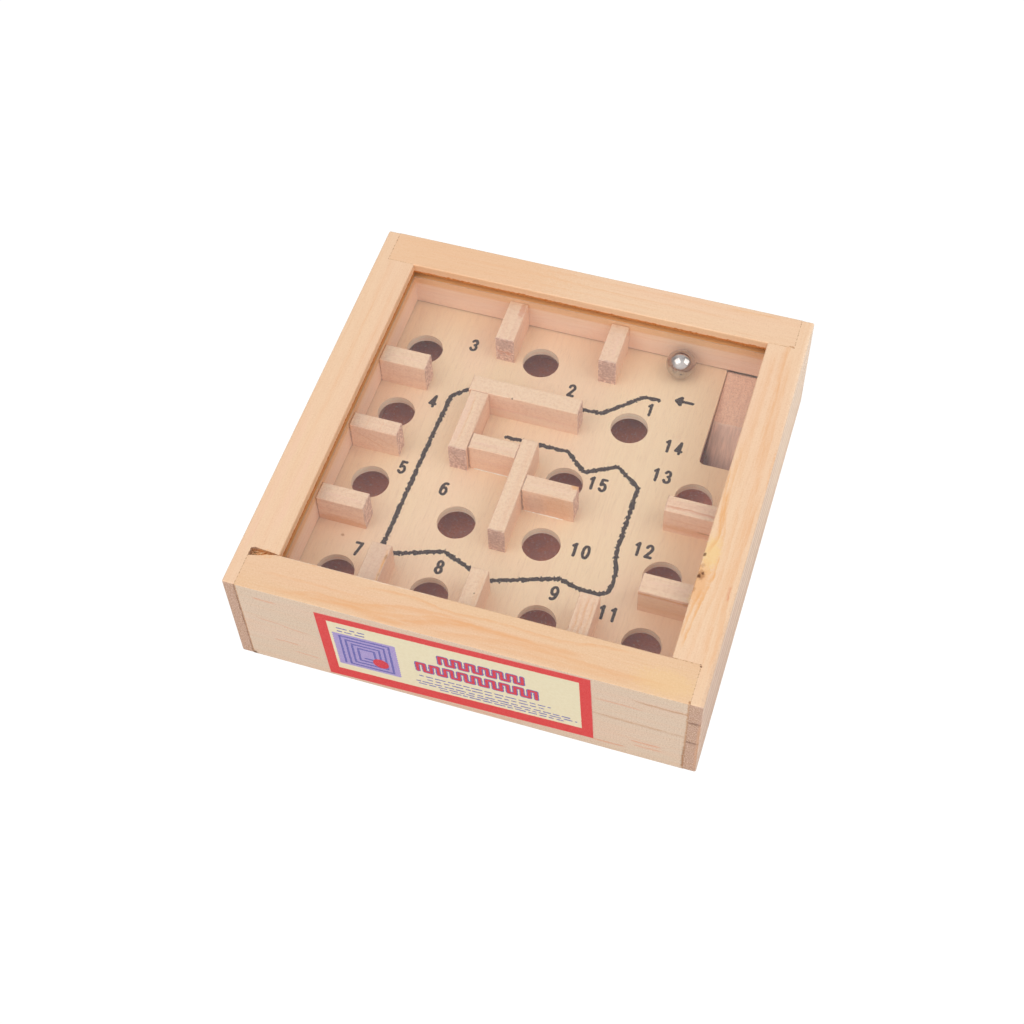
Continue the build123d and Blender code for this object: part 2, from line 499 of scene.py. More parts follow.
def end_grain(graph, cells, ring, tones):
    """The colour where the fibres are cut across: open cells, with the rings just showing."""
    colour = graph.mix(graph.step(cells, 0.42, 0.62), tones["end"], tones["end_light"])
    colour = graph.mix(graph.times(ring, 0.25), colour, STAINS_AND_SHADING["mauve"])
    return graph.tint(colour, cells, 0.42, 0.30, 0.7, rgb(0.36, 0.20, 0.14))


def draw_mark(graph, point, ragged, shaken, broken, mark, colour):
    """A spot with a ragged outline, or a line that wavers and breaks with the grain."""
    face, shape, size, strength, stain = mark
    if face == "spot":
        share = graph.blob(point, shape, size, ragged)
    else:
        share = graph.times(graph.line(shaken, face, shape, size), broken)
    return graph.mix(graph.times(share, strength), colour, STAINS_AND_SHADING[stain])


def joint_line(graph, place):
    """The thin dotted glue line of the four corner joints."""
    x, y, z = place
    out = graph.absolute(x)
    middle = (OPEN_FRONT + OPEN_BACK) / 2
    past = graph.minus(graph.away(y, middle), (OPEN_BACK - OPEN_FRONT) / 2)
    short_of = graph.largest(graph.times(past, -1.0), 0.0)
    lengthwise = graph.add(graph.away(out, JOINT_X), graph.times(short_of, JOINT_FADE))
    beyond = graph.largest(graph.minus(out, JOINT_X), graph.minus(OPEN_RIGHT, out), 0.0)
    crosswise = graph.add(graph.absolute(past), graph.times(beyond, JOINT_FADE))
    distance = graph.smallest(lengthwise, graph.add(crosswise, 0.10))
    dots = graph.grain(place, 1.5, 3.0, 2.0)
    width = graph.step(dots, 0.35, 0.65, 0.07, 0.18)
    drawn = graph.step(distance, width, graph.times(width, 0.3))
    return graph.times(drawn, graph.step(dots, 0.38, 0.66, 0.06, 0.85))


def scorch_groove(graph, place, ragged, colour):
    """The groove that holds the cover gets painted warm light, and painted shade just under the lip."""
    x, y, z = place
    behind = graph.largest(graph.minus(OPEN_LEFT, x), graph.minus(x, OPEN_RIGHT),
                           graph.minus(OPEN_FRONT, y), graph.minus(y, OPEN_BACK))
    within = graph.step(behind, 5.0, 4.4)
    groove = graph.times(
        within, graph.step(behind, 0.1, 0.3), graph.step(z, COVER_LOW - 0.3, COVER_LOW - 0.1),
        graph.step(z, LIP_LOW + 0.2, LIP_LOW))
    lip_gap_shade = graph.times(groove, graph.step(z, COVER_TOP - 0.6, COVER_TOP + 0.3),
                        graph.step(graph.add(behind, graph.times(ragged, 0.5)), 0.3, 0.9))
    return graph.mix(lip_gap_shade, graph.mix(groove, colour, GROOVE_BOUNCE_LIGHT), LIP_GAP_SHADE)


def node_wood(node, along, pith_offset, **options):
    """Wood for a CAD node, with the pith placed from the middle of the node's box."""
    low, high = box_mm(node)
    middle = (low + high) / 2
    u, v = {"X": (middle.y, middle.z), "Y": (middle.x, middle.z), "Z": (middle.x, middle.y)}[along]
    pith = (u + pith_offset[0], v + pith_offset[1])
    dress(node, wood(node, along, pith, marks=MARKS.get(node, ()), **options))


RAIL_TOP = box_mm("front_rail")[1].z
BLOCK_TOP = box_mm("centre_block_long")[1].z


def foot_lines(*places):
    """The dark lines where a block meets the left rail, on its top and on its front."""
    return [
        ("top_y", [(y, -49.1) for y in places], 0.2, 0.8, "brown"),
        ("front_up", [(13, -49.08), (21, -49.08), (30, -49.08)], 0.22, 0.9, "brown"),
    ]


# What is drawn on the grain: a line's face, points (along, across) and width, or a spot's
# centre and radii, then how strong it is and its tone. Some marks are painted light and shade.
MARKS = {
    "front_rail": [
        ("top_x", [(-52, -57.4), (-43.9, -58), (-36, -56.6), (-29.9, -56.8), (-23.9, -56.2),
                   (-18.9, -54.9), (-8, -53.6), (6, -53.4)], 0.85, 0.6, "peach"),
        ("top_x", [(-30, -58.4), (-25.8, -58.5), (-20, -58.6), (-13.7, -57.8), (-4.4, -55.3),
                   (5.5, -54.4), (18, -54.6), (34, -54)], 0.95, 0.75, "peach"),
        ("top_x", [(-46, -59.2), (-38, -58.3), (-30, -57.8), (-22, -57.4), (-12, -56), (-3, -54.3),
                   (12, -53.9)], 0.7, 0.55, "peach"),
        ("top_x", [(-14, -59.2), (-4, -58.2), (6, -56.9), (20, -56.2), (40, -56.6),
                   (55, -56)], 0.95, 0.45, "peach"),
        ("top_x", [(0, -59.3), (12, -58.3), (26, -58), (44, -58.6)], 0.5, 0.3, "peach"),
        ("top_x", [(-34, -51.9), (-27, -51.7), (-15.8, -50.8), (-3.4, -52.2), (7.9, -51.7), (19.5, -52.2),
                   (30.5, -51.1), (39.6, -50.5), (49, -50.3)], 0.4, 0.55, "peach"),
        ("top_x", [(-54, -54.8), (-44, -54.2), (-30, -54.4), (-20, -53.2)], 0.4, 0.3, "peach"),
        ("spot", (-40, -49.1, RAIL_TOP), (1.5, 0.5, 0.8), 0.55, "orange"),
        # Pale line along the inner top edge: a worn arris, with a painted highlight on it
        ("top_x", [(-52, -49.15), (-36, -49.12), (-16, -49.15), (-4, -49.12)], 0.14, 0.9, "pale"),
        ("spot", (-23, -56.6, RAIL_TOP), (9, 2, 2), 0.16, "orange"),
        ("front", [(-53, 29.6), (-49.5, 29.3), (-46, 29.4)], 0.36, 0.75, "red"),
        ("front", [(-54.5, 19.8), (-48, 19.5), (-43, 18.4), (-38, 18.2)], 0.32, 0.5, "red"),
        ("front", [(-50, 11.4), (-46, 11.2), (-42, 11)], 0.34, 0.6, "red"),
        ("front", [(-45, 7.4), (-41, 7.2), (-37, 7)], 0.34, 0.5, "red"),
        ("front", [(42, 28.8), (51, 28.2), (60, 28.6)], 0.42, 0.7, "brown"),
        ("front", [(33, 24.6), (40, 24.9), (47, 24.6)], 0.38, 0.55, "red"),
        ("front", [(30, 17.6), (42, 17.3), (60, 17)], 0.5, 0.5, "brown"),
        ("front", [(42.5, 8.3), (47.5, 8.2), (51.5, 8.4)], 0.45, 0.8, "red"),
        ("front", [(43.5, 6.4), (48, 6.2), (52, 6.4)], 0.38, 0.65, "red"),
        ("front", [(31, 4), (38, 3.8), (43, 4)], 0.45, 0.8, "red"),
        ("front", [(-24, 1.7), (-5, 1.4), (18, 1.6)], 0.35, 0.6, "red"),
        ("front_up", [(-1, 56.62), (6, 56.6), (13.5, 56.62)], 0.34, 0.95, "dark"),
        ("front_up", [(-14, 56.62), (16, 56.6), (48, 56.62)], 0.24, 0.9, "brown"),
        ("front_up", [(-14, -56.56), (16, -56.54), (48, -56.56)], 0.22, 1, "brown"),
        ("spot", (50, -56, RAIL_TOP), (9, 4, 2), 0.3, "yellow"),
        ("spot", (-56.3, -60, 0.4), (0.8, 1.5, 1.3), 0.85, "dark"),
        # Broken-out corner: orange torn wood lightened as painted light, and a dark spot in its deep end as
        # painted shade
        ("spot", (-52.8, -49.6, 32), (5, 1.7, 1.5), 0.85, "orange"),
        ("spot", (-55.8, -50.2, 31.8), (0.9, 1, 1.1), 0.95, "dark"),
        ("spot", (56.5, -59.4, RAIL_TOP), (0.35, 0.45, 0.6), 0.9, "brown"),
        ("spot", (56.7, -49.6, RAIL_TOP), (0.28, 0.28, 0.6), 0.95, "dark"),
    ],
    "back_rail": [
        ("spot", (-36, 55, RAIL_TOP), (34, 12, 3), 0.26, "peach"),
        ("top_x", [(-50, 55), (-20, 56), (10, 55.2), (50, 56.4)], 0.5, 0.22, "peach"),
        ("top_x", [(-46, 52.4), (-10, 52.8), (30, 52.2)], 0.4, 0.18, "peach"),
        ("top_x", [(-20, 57.8), (10, 58.2), (52, 57.6)], 0.4, 0.2, "peach"),
        ("top_x", [(36, 58.8), (44, 58.6), (52, 58.9)], 0.35, 0.35, "orange"),
        ("spot", (56, 50, RAIL_TOP), (0.9, 0.5, 0.6), 0.75, "brown"),
        ("back", [(-40, 22), (0, 24), (40, 21)], 0.5, 0.3, "peach"),
    ],
    "left_rail": [
        ("top_y", [(-56, -58.2), (-40, -58), (-18, -57.6), (0, -57.9)], 1, 0.28, "pink"),
        ("top_y", [(-46, -53), (-30, -52.6), (-8, -52.9)], 1.2, 0.3, "pink"),
        ("top_y", [(-20, -55.6), (10, -55), (54, -55.5)], 0.5, 0.2, "peach"),
        ("top_y", [(5, -51.5), (25, -51.2), (46, -51.6)], 0.4, 0.22, "peach"),
        ("front", [(-63, 14.4), (-58.3, 14.2), (-54, 14.3)], 0.45, 0.6, "mauve"),
        ("front", [(-63, 24), (-58.3, 23.8), (-54, 24)], 0.4, 0.5, "mauve"),
        # Broken-out corner: orange torn wood lightened as painted light, and a dark spot in its deep end as
        # painted shade
        ("spot", (-52.8, -49.2, 32), (5, 1.5, 1.5), 0.85, "orange"),
        ("spot", (-55.8, -49.6, 31.9), (1, 1, 1.2), 0.95, "dark"),
        ("front_up", [(-14, -56.72), (16, -56.74), (48, -56.72)], 0.18, 0.85, "dark"),
        ("right", [(-48, 27.25), (-24, 27.3), (0, 27.25), (26, 27.3)], 0.22, 0.75, "red"),
    ],
    "right_rail": [
        ("top_y", [(4, 56.2), (11.9, 56.3), (21.6, 56), (34.1, 55.7), (41.7, 55.3), (50, 55.6),
                   (60, 56.4)], 0.8, 0.55, "peach"),
        ("top_y", [(-4, 57.6), (16, 57.5), (34, 57.1), (50, 56.8)], 0.85, 0.42, "peach"),
        ("top_y", [(2, 59.6), (8, 59.7), (17, 59.7)], 0.3, 0.5, "peach"),
        ("top_y", [(-56, 59), (-40.7, 59), (-30, 58.3), (-26, 58.3), (-8.6, 58.6),
                   (6, 59.2)], 0.7, 0.5, "peach"),
        ("top_y", [(-31, 58.35), (-28.5, 58.25), (-26, 58.3)], 0.32, 0.85, "red"),
        ("top_y", [(-15.5, 52.9), (-11.4, 51.8), (-5.5, 50.9), (1, 50.3), (9, 50.1)], 0.32, 0.6, "orange"),
        ("top_y", [(-22, 53.4), (-14, 53.2), (-6, 52), (4, 51.4), (18, 51.2)], 0.5, 0.4, "orange"),
        ("top_y", [(-47, 51), (-39.9, 51.6), (-31.6, 52.5), (-27, 53.2), (-23, 53.6)], 0.35, 0.8, "orange"),
        ("top_y", [(-44, 50.3), (-37, 50.6), (-31, 51.4), (-27.5, 52.2)], 0.35, 0.65, "orange"),
        ("top_y", [(-27, 53.5), (-23, 53.6), (-18, 53.3)], 0.45, 0.75, "orange"),
        ("top_y", [(-54, 53.4), (-44, 53.6), (-33, 54.4), (-24, 55.2), (-12, 55),
                   (4, 54)], 0.6, 0.3, "peach"),
        ("top_y", [(-2, 52.9), (26, 52.6), (52, 53)], 1.1, 0.3, "peach"),
        ("spot", (51.4, -18.6, RAIL_TOP), (2.4, 6, 2.5), 0.7, "yellow"),
        ("spot", (50.8, -27.6, RAIL_TOP), (2.6, 7, 2.5), 0.5, "orange"),
        ("top_y", [(-20, 50.4), (-16, 51.4), (-12, 52), (-6, 51.6), (2, 50.8)], 0.5, 0.7, "orange"),
        ("top_y", [(-58, 57.6), (-46, 57), (-36, 56.6), (-24, 57), (-6, 57.4), (12, 57)], 0.8, 0.36, "peach"),
        ("spot", (50.5, -25.2, RAIL_TOP), (1, 1.6, 1.6), 0.85, "brown"),
        ("spot", (50.1, -25.6, RAIL_TOP), (0.5, 0.7, 1.2), 0.95, "dark"),
        ("spot", (50.8, -24.6, RAIL_TOP), (0.4, 0.5, 1.2), 0.85, "dark"),
        ("spot", (49.9, -19.2, RAIL_TOP), (0.45, 0.55, 1.2), 0.8, "dark"),
        ("spot", (50.3, -22.4, RAIL_TOP), (0.6, 0.8, 0.8), 0.45, "brown"),
        ("spot", (49.9, -29.4, RAIL_TOP), (0.4, 0.8, 0.8), 0.5, "brown"),
        ("front", [(54, 25.1), (58, 24.9), (62.5, 25.1)], 0.52, 0.8, "dark"),
        ("front", [(54, 14.9), (58, 15.1), (62.5, 15)], 0.46, 0.75, "dark"),
        ("front_up", [(-1, 59.75), (14, 59.7), (28, 59.85)], 0.35, 0.5, "orange"),
        ("right", [(-80, 27.6), (-20, 27.2), (20, 27.8), (80, 27.4)], 0.8, 0.6, "mauve"),
        ("right", [(-80, 22), (-20, 22.6), (20, 22), (80, 22.4)], 0.8, 0.6, "mauve"),
        ("right", [(-80, 24.6), (-20, 24.4), (20, 24.8), (80, 24.4)], 0.8, 1, "pale"),
        ("right", [(-80, 18.6), (-20, 18.8), (20, 18.4), (80, 18.8)], 0.9, 1, "pale"),
        ("right", [(-80, 11.4), (-20, 11.2), (80, 11.6)], 0.9, 0.9, "pale"),
        ("right", [(-80, 15.2), (-10, 14.8), (30, 15.4), (80, 14.8)], 0.8, 0.6, "mauve"),
        ("right", [(-80, 8), (-10, 8.3), (80, 7.6)], 0.8, 0.55, "mauve"),
        ("right", [(-80, 31.2), (0, 30.9), (80, 31.3)], 0.7, 1, "pale"),
        ("spot", (60, -46.5, 26), (0.4, 0.35, 0.35), 0.85, "dark"),
        ("spot", (60, -62, 17), (1.2, 48, 26), 0.32, "mauve"),
        ("spot", (60, 48, 17), (1.2, 42, 26), 0.5, "pale"),
        ("right", [(-60, 0.5), (0, 0.4), (60, 0.5)], 0.4, 0.55, "peach"),
        ("spot", (56.7, -49.6, RAIL_TOP), (0.28, 0.28, 0.6), 0.95, "dark"),
    ],
    "centre_block_long": [
        ("front", [(-22.9, 21.4), (-10, 21.2), (7, 21.3)], 0.3, 0.5, "pink"),
        # Painted bounce light: a lighter band low on the front face
        ("spot", (-8, 17.3, 19.2), (18, 0.9, 1.9), 0.4, "pale"),
        ("spot", (-10.9, 17.5, BLOCK_TOP - 0.1), (0.3, 0.3, 0.25), 0.85, "dark"),
    ],
    "centre_block_left": [
        ("top_y", [(-2, -20.9), (8, -20.8), (17.4, -21)], 0.9, 0.55, "pink"),
        ("top_y", [(-2, -20.2), (8, -20), (17.4, -20.3)], 0.25, 0.5, "peach"),
        ("front", [(-22.3, 25.6), (-19.8, 22), (-17.2, 18)], 0.32, 0.75, "brown"),
        # Painted shade: the upper part of this end face is darker
        ("spot", (-19.7, -1.9, 22), (4, 0.8, 6), 0.35, "mauve"),
        ("right", [(-1.9, 18.3), (8, 18.1), (17.3, 18.2)], 0.5, 0.45, "brown"),
    ],
    "centre_block_short": [
        ("top_x", [(-17, 1.2), (-10, 1.6), (-4.5, 1.4)], 0.5, 0.45, "pink"),
        ("front", [(-17, 22.6), (-10, 22), (-4.5, 22.3)], 0.4, 0.45, "pink"),
        ("top_y", [(-0.8, -16.95), (1.8, -16.95), (4.2, -16.95)], 0.2, 0.85, "dark"),
        ("front_up", [(13, -16.9), (21, -16.9), (30, -16.9)], 0.2, 0.7, "brown"),
    ],
    "centre_block_middle": [
        # Painted shade: the upper part of this end face is darker
        ("spot", (-2.2, -23.4, 22), (3, 0.6, 6), 0.5, "mauve"),
        ("top_y", [(-23, -1.2), (-8, -0.9), (5.9, -1.1)], 0.5, 0.22, "peach"),
        ("spot", (-1, -23.2, BLOCK_TOP), (0.8, 0.4, 0.5), 0.4, "brown"),
    ],
    "centre_block_right": [
        ("spot", (13.3, -5.1, BLOCK_TOP), (1.3, 1, 1), 0.7, "orange"),
        ("spot", (9.5, -9.6, 22), (6, 0.8, 5.5), 0.4, "orange"),
        ("spot", (3.6, -9.6, 21), (3.6, 0.8, 4.5), 0.3, "mauve"),
        ("front_up", [(13, 0.32), (21, 0.32), (30, 0.32)], 0.2, 0.8, "dark"),
        ("top_y", [(-9.7, 0.25), (-7, 0.25), (-4.5, 0.25)], 0.2, 0.85, "dark"),
        ("top_x", [(0.2, -7.4), (7, -7), (13.9, -7.3)], 0.4, 0.35, "pink"),
    ],
    "front_block_left": [
        ("spot", (-28.4, -42, BLOCK_TOP), (4, 12, 1), 0.3, "mauve"),
        ("top_y", [(-49, -25.8), (-42, -25.8), (-35, -25.9)], 0.35, 0.95, "orange"),
        ("spot", (-25.8, -38.6, BLOCK_TOP), (0.4, 0.9, 0.8), 0.7, "brown"),
        ("spot", (-25.9, -44, BLOCK_TOP), (0.3, 0.6, 0.8), 0.5, "brown"),
    ],
    "front_block_middle": [
        ("spot", (-1.6, -42.3, BLOCK_TOP), (0.22, 0.3, 0.3), 0.8, "dark"),
        ("top_y", [(-49, -0.9), (-42, -0.8), (-35, -0.9)], 0.5, 0.4, "peach"),
    ],
    "front_block_right": [
        ("top_y", [(-49, 24.2), (-41, 24.4), (-34.4, 24.2)], 0.35, 0.6, "peach"),
        ("top_y", [(-49, 25.6), (-41, 25.8), (-34.4, 25.5)], 0.35, 0.65, "peach"),
        ("top_y", [(-49, 27.1), (-41, 27.2), (-34.4, 27)], 0.3, 0.6, "peach"),
    ],
    "back_block_left": [
        ("spot", (-17.3, 47.2, BLOCK_TOP), (1, 2.8, 0.8), 0.65, "red"),
        # Painted shade: the upper part of this end face is darker
        ("spot", (-18.8, 36.1, 24.2), (3.2, 0.6, 2.4), 0.55, "mauve"),
        ("spot", (-18, 36.1, 20.6), (0.7, 0.5, 0.5), 0.6, "red"),
        ("spot", (-20.2, 36.1, 20.2), (0.6, 0.5, 0.4), 0.55, "red"),
        ("front", [(-21.8, 21.6), (-19, 21.3), (-16.3, 21.7)], 0.35, 0.75, "red"),
    ],
    "back_block_right": [
        # Painted shade: the upper part of this end face is darker
        ("spot", (9.6, 36.5, 22.5), (3.2, 0.6, 5.5), 0.5, "mauve"),
        ("top_y", [(36, 10.8), (43, 10.6), (49.8, 10.9)], 0.5, 0.4, "pink"),
    ],
    "left_block_back": [
        *foot_lines(18, 23, 28),
        ("top_x", [(-49, 22.4), (-42, 22.8), (-36.3, 22.5)], 0.4, 0.35, "pink"),
    ],
    "left_block_middle": [
        *foot_lines(-5, -0.5, 4),
        ("top_y", [(-2.7, -45), (-0.5, -44.6), (1.7, -45)], 0.25, 0.3, "peach"),
        ("top_y", [(-2.7, -41), (-0.5, -40.7), (1.7, -41)], 0.25, 0.3, "peach"),
        ("front", [(-49, 25), (-44, 22.2), (-39, 19.4)], 0.35, 0.45, "peach"),
        ("front", [(-45, 25.6), (-41, 23.4), (-36.2, 20.8)], 0.35, 0.4, "peach"),
    ],
    "left_block_front": [
        *foot_lines(-29, -24, -19),
        ("top_x", [(-49, -24.8), (-43, -24.6), (-36.4, -24.9)], 0.4, 0.5, "pink"),
        # Painted bounce light: a warmer, lighter band low on the front face
        ("spot", (-43, -26.8, 18.6), (9, 0.6, 2), 0.55, "orange"),
        ("front", [(-49, 20.9), (-43, 20.6), (-36.4, 20.8)], 0.25, 0.55, "orange"),
    ],
    "right_block_back": [
        ("top_x", [(34.4, -4), (43, -3.8), (51.6, -4)], 0.4, 0.8, "red"),
        # Painted bounce light: a warmer, lighter band low on the front face
        ("spot", (43, -5.4, 19.6), (9, 0.6, 1.6), 0.4, "orange"),
        ("front", [(44.5, 20.4), (47, 20.2), (49.6, 20.8)], 0.25, 0.85, "brown"),
        ("front", [(36.4, 23.4), (43, 23.2), (49.6, 23.5)], 0.35, 0.35, "peach"),
    ],
    "right_block_front": [
        ("spot", (49.2, -28.6, BLOCK_TOP), (0.8, 1.6, 1), 0.6, "yellow"),
        ("spot", (48.6, -30.1, 25.4), (1.2, 0.6, 1), 0.6, "brown"),
        ("front", [(34, 25.6), (43, 25.5), (52, 25.3)], 0.45, 1, "orange"),
        ("front", [(34.4, 20.4), (43, 20), (51.6, 20.2)], 0.7, 0.5, "peach"),
        ("spot", (43, -30.2, 21), (10, 1, 5), 0.3, "yellow"),
        ("top_x", [(36.4, -27), (43, -26.6), (49.6, -26.9)], 0.5, 0.35, "pink"),
    ],
}


def dress_rails():
    node_wood("front_rail", "X", (16.0, -46.0), ring_gap=3.4, seed=1, tones=FRONT_PINE, wander=5.0,
              ring_share=0.12, rail=True, sanded=0.42)
    node_wood("back_rail", "X", (-60.0, -22.0), ring_gap=6.0, seed=2, tones=PINE, wander=5.0,
              ring_share=0.10, rail=True)
    node_wood("left_rail", "Y", (-50.0, 8.0), ring_gap=5.0, seed=3, tones=PINE, ring_share=0.12, rail=True)
    node_wood("right_rail", "Y", (-2.0, 62.0), ring_gap=3.8, seed=4, tones=RIGHT_PINE, wander=3.0,
              ring_share=0.10, rail=True)


# Grain of the wall blocks: axis of the fibres, pith from the block's middle, ring gap, how strong
# the rings show.
BLOCK_GRAIN = {
    "back_block_left": ("Y", (18.0, -9.0), 2.6, 0.30),
    "back_block_right": ("Y", (-40.0, 6.0), 2.8, 0.20),
    "left_block_back": ("X", (5.0, -30.0), 3.0, 0.22),
    "left_block_middle": ("X", (30.0, -6.0), 2.2, 0.22),
    "left_block_front": ("X", (14.0, -20.0), 2.6, 0.28),
    "front_block_left": ("Y", (22.0, 16.0), 2.1, 0.25),
    "front_block_middle": ("Y", (-34.0, 4.0), 3.2, 0.14),
    "front_block_right": ("Y", (26.0, -2.0), 1.9, 0.30),
    "right_block_back": ("X", (-17.0, 9.0), 4.4, 0.40),
    "right_block_front": ("X", (24.0, -30.0), 2.8, 0.25),
    "centre_block_long": ("X", (8.0, -44.0), 3.6, 0.14),
    "centre_block_left": ("Y", (-14.5, -11.0), 3.6, 0.35),
    "centre_block_short": ("X", (-28.0, 30.0), 3.6, 0.30),
    "centre_block_middle": ("Y", (-38.0, 14.0), 3.0, 0.12),
    "centre_block_right": ("X", (16.0, -24.0), 2.4, 0.28),
}


def dress_blocks():
    for index, (node, (along, pith, gap, share)) in enumerate(BLOCK_GRAIN.items()):
        node_wood(node, along, pith, ring_gap=gap, seed=10 + index, tones=BLOCK, wander=1.6, ring_share=share,
                  speckle=0.36)


# Where the steep and the gentle face of the ramp meet, along y
RAMP_CREASE = 33.9


def dress_ramp():
    """Sawn wood: a pinkish upper facet, a greyer lower one with saw lines, and painted shade low down and at
    the edges.
    """
    low, high = box_mm("return_ramp")
    crease = RAMP_CREASE
    graph = Graph("sawn_ramp")
    place = graph.place_mm()
    x, y, z = place
    saw = graph.grain(place, (2.0, 0.14, 0.3), 4.0, 3.0, 0.6)
    fibre = graph.grain(place, (2.4, 0.12, 2.4), 9.0, 3.0)
    cloud = graph.grain(place, (0.25, 0.15, 0.2), 2.0, 2.0)
    upper = graph.tint(rgb(0.85, 0.520, 0.350), fibre, 0.4, 0.7, 0.6, rgb(0.72, 0.40, 0.27))
    specks = graph.grain(place, 2.2, 6.0, 3.0, 0.7)
    upper = graph.tint(upper, specks, 0.50, 0.66, 0.7, rgb(0.62, 0.34, 0.23))
    upper = graph.tint(upper, specks, 0.44, 0.32, 0.7, rgb(0.92, 0.62, 0.43))
    lower = graph.mix(graph.step(saw, 0.35, 0.65), rgb(0.70, 0.43, 0.31), rgb(0.86, 0.55, 0.40))
    lower = graph.tint(lower, cloud, 0.4, 0.65, 0.4, rgb(0.55, 0.36, 0.28))
    # Painted shade: the lower facet darkens towards its low end, under the board
    down = graph.step(y, crease - 5.0, low.y, 0.0, 0.75)
    lower = graph.mix(down, lower, rgb(0.34, 0.165, 0.130))
    colour = graph.mix(graph.step(graph.add(y, graph.times(cloud, 0.4)), crease, crease + 0.4), lower, upper)
    edge = graph.step(graph.away(graph.add(y, graph.times(cloud, 0.6)), crease + 0.3), 0.42, 0.12)
    colour = graph.mix(graph.times(edge, 0.55), colour, rgb(0.80, 0.56, 0.42))
    # Painted shade where the low left corner runs in under the board
    corner = graph.blob(graph.vector(x, y, z), (low.x + 0.6, low.y + 4.0, low.z + 2.0), (2.0, 6.0, 9.0),
                        graph.times(cloud, 0.2))
    colour = graph.mix(graph.times(corner, 0.70), colour, rgb(0.16, 0.085, 0.080))
    # Painted shade along the ramp's left and back edges
    rim = graph.largest(graph.step(x, low.x + 0.30, low.x + 0.10),
                        graph.step(graph.add(y, graph.times(fibre, 0.6)), high.y, high.y + 0.2))
    colour = graph.mix(graph.times(rim, 0.60), colour, STAINS_AND_SHADING["brown"])
    height = graph.add(graph.times(saw, graph.step(y, crease + 0.5, crease)), graph.times(fibre, 0.4))
    graph.coat(
        colour, graph.step(fibre, 0.3, 0.7, 0.6, 0.75),
        graph.bump(height, 0.5, 0.10), specular=0.28)
    dress("return_ramp", graph.material)


def dress_board():
    """Birch-like plywood: a plain face veneer with fine fibres, and three plies at the edges."""
    low, high = box_mm("playing_board")
    graph = Graph("plywood_board")
    place = graph.place_mm()
    x, y, z = place
    fibre = graph.grain(place, (2.0, 0.05, 1.0), 0.0, 3.0)
    pores = graph.grain(place, (6.0, 0.45, 1.0), 5.0, 2.0)
    cloud = graph.grain(place, (0.045, 0.030, 0.03), 9.0, 2.0)
    specks = graph.grain(place, 3.0, 2.0, 3.0, 0.65)
    colour = graph.mix(graph.step(cloud, 0.38, 0.62), rgb(0.855, 0.622, 0.392), rgb(0.860, 0.602, 0.392))
    colour = graph.tint(colour, fibre, 0.45, 0.75, 0.20, rgb(0.70, 0.43, 0.28))
    colour = graph.tint(colour, pores, 0.55, 0.70, 0.24, rgb(0.55, 0.32, 0.20))
    colour = graph.tint(colour, specks, 0.52, 0.72, 0.35, rgb(0.86, 0.80, 0.76), "MULTIPLY")
    # Painted shade: the board gets darker and warmer towards the walls
    wall = graph.largest(graph.times(graph.absolute(y), 0.92), graph.times(x, -0.95), graph.times(x, 1.14))
    colour = graph.tint(colour, wall, 30.0, 51.0, 0.8, rgb(0.92, 0.83, 0.76), "MULTIPLY")
    ragged = graph.times(graph.minus(specks, 0.5), 1.2)
    dot = graph.blob(graph.vector(x, y, z), (-41.6, -30.1, high.z), (0.55, 0.45, 0.6), ragged)
    colour = graph.mix(graph.times(dot, 0.75), colour, STAINS_AND_SHADING["brown"])
    thick = high.z - low.z
    ply = graph.math("FRACT", graph.math("DIVIDE", graph.minus(z, low.z), thick / 1.5))
    ply_share = graph.step(graph.away(ply, 0.5), 0.15, 0.2)
    edge_colour = graph.mix(ply_share, rgb(0.99, 0.73, 0.52), rgb(0.99, 0.80, 0.58))
    edge_colour = graph.tint(edge_colour, specks, 0.5, 0.7, 0.22, rgb(0.40, 0.25, 0.16))
    edge = graph.step(graph.absolute(graph.normal()[2]), 0.6, 0.3)
    colour = graph.mix(edge, colour, edge_colour)
    height = graph.add(fibre, graph.times(pores, 0.5), graph.times(specks, 0.4))
    graph.coat(
        colour, graph.step(fibre, 0.3, 0.7, 0.55, 0.68), graph.bump(height, 0.25, 0.05), specular=0.30)
    dress("playing_board", graph.material)


def dress_base():
    """Brown hardboard: pressed fibres with fine pale specks. The upward faces get a bright red-orange as
    painted light.
    """
    graph = Graph("hardboard_base")
    place = graph.place_mm()
    fibres = graph.grain(place, 1.6, 0.0, 5.0, 0.7)
    clumps = graph.grain(place, 0.35, 0.0, 3.0)
    specks = graph.grain(place, 1.7, 0.0, 1.0)
    fibre_share = graph.step(fibres, 0.35, 0.65)
    # Painted light: the upward faces, seen only down the dim holes, are far brighter and redder than the
    # underside
    colour = graph.mix(fibre_share, rgb(0.84, 0.255, 0.145), rgb(0.95, 0.360, 0.215))
    colour = graph.tint(colour, clumps, 0.4, 0.6, 0.35, rgb(0.72, 0.32, 0.26))
    under = graph.step(graph.normal()[2], -0.5, -0.8)
    under_colour = graph.mix(fibre_share, rgb(0.30, 0.17, 0.11), rgb(0.42, 0.26, 0.17))
    colour = graph.mix(under, colour, under_colour)
    colour = graph.tint(colour, specks, 0.66, 0.71, 0.70, rgb(0.98, 0.66, 0.50))
    graph.coat(colour, graph.step(fibres, 0.3, 0.7, 0.45, 0.7), graph.bump(fibres, 0.4, 0.08))
    dress("base_panel", graph.material)


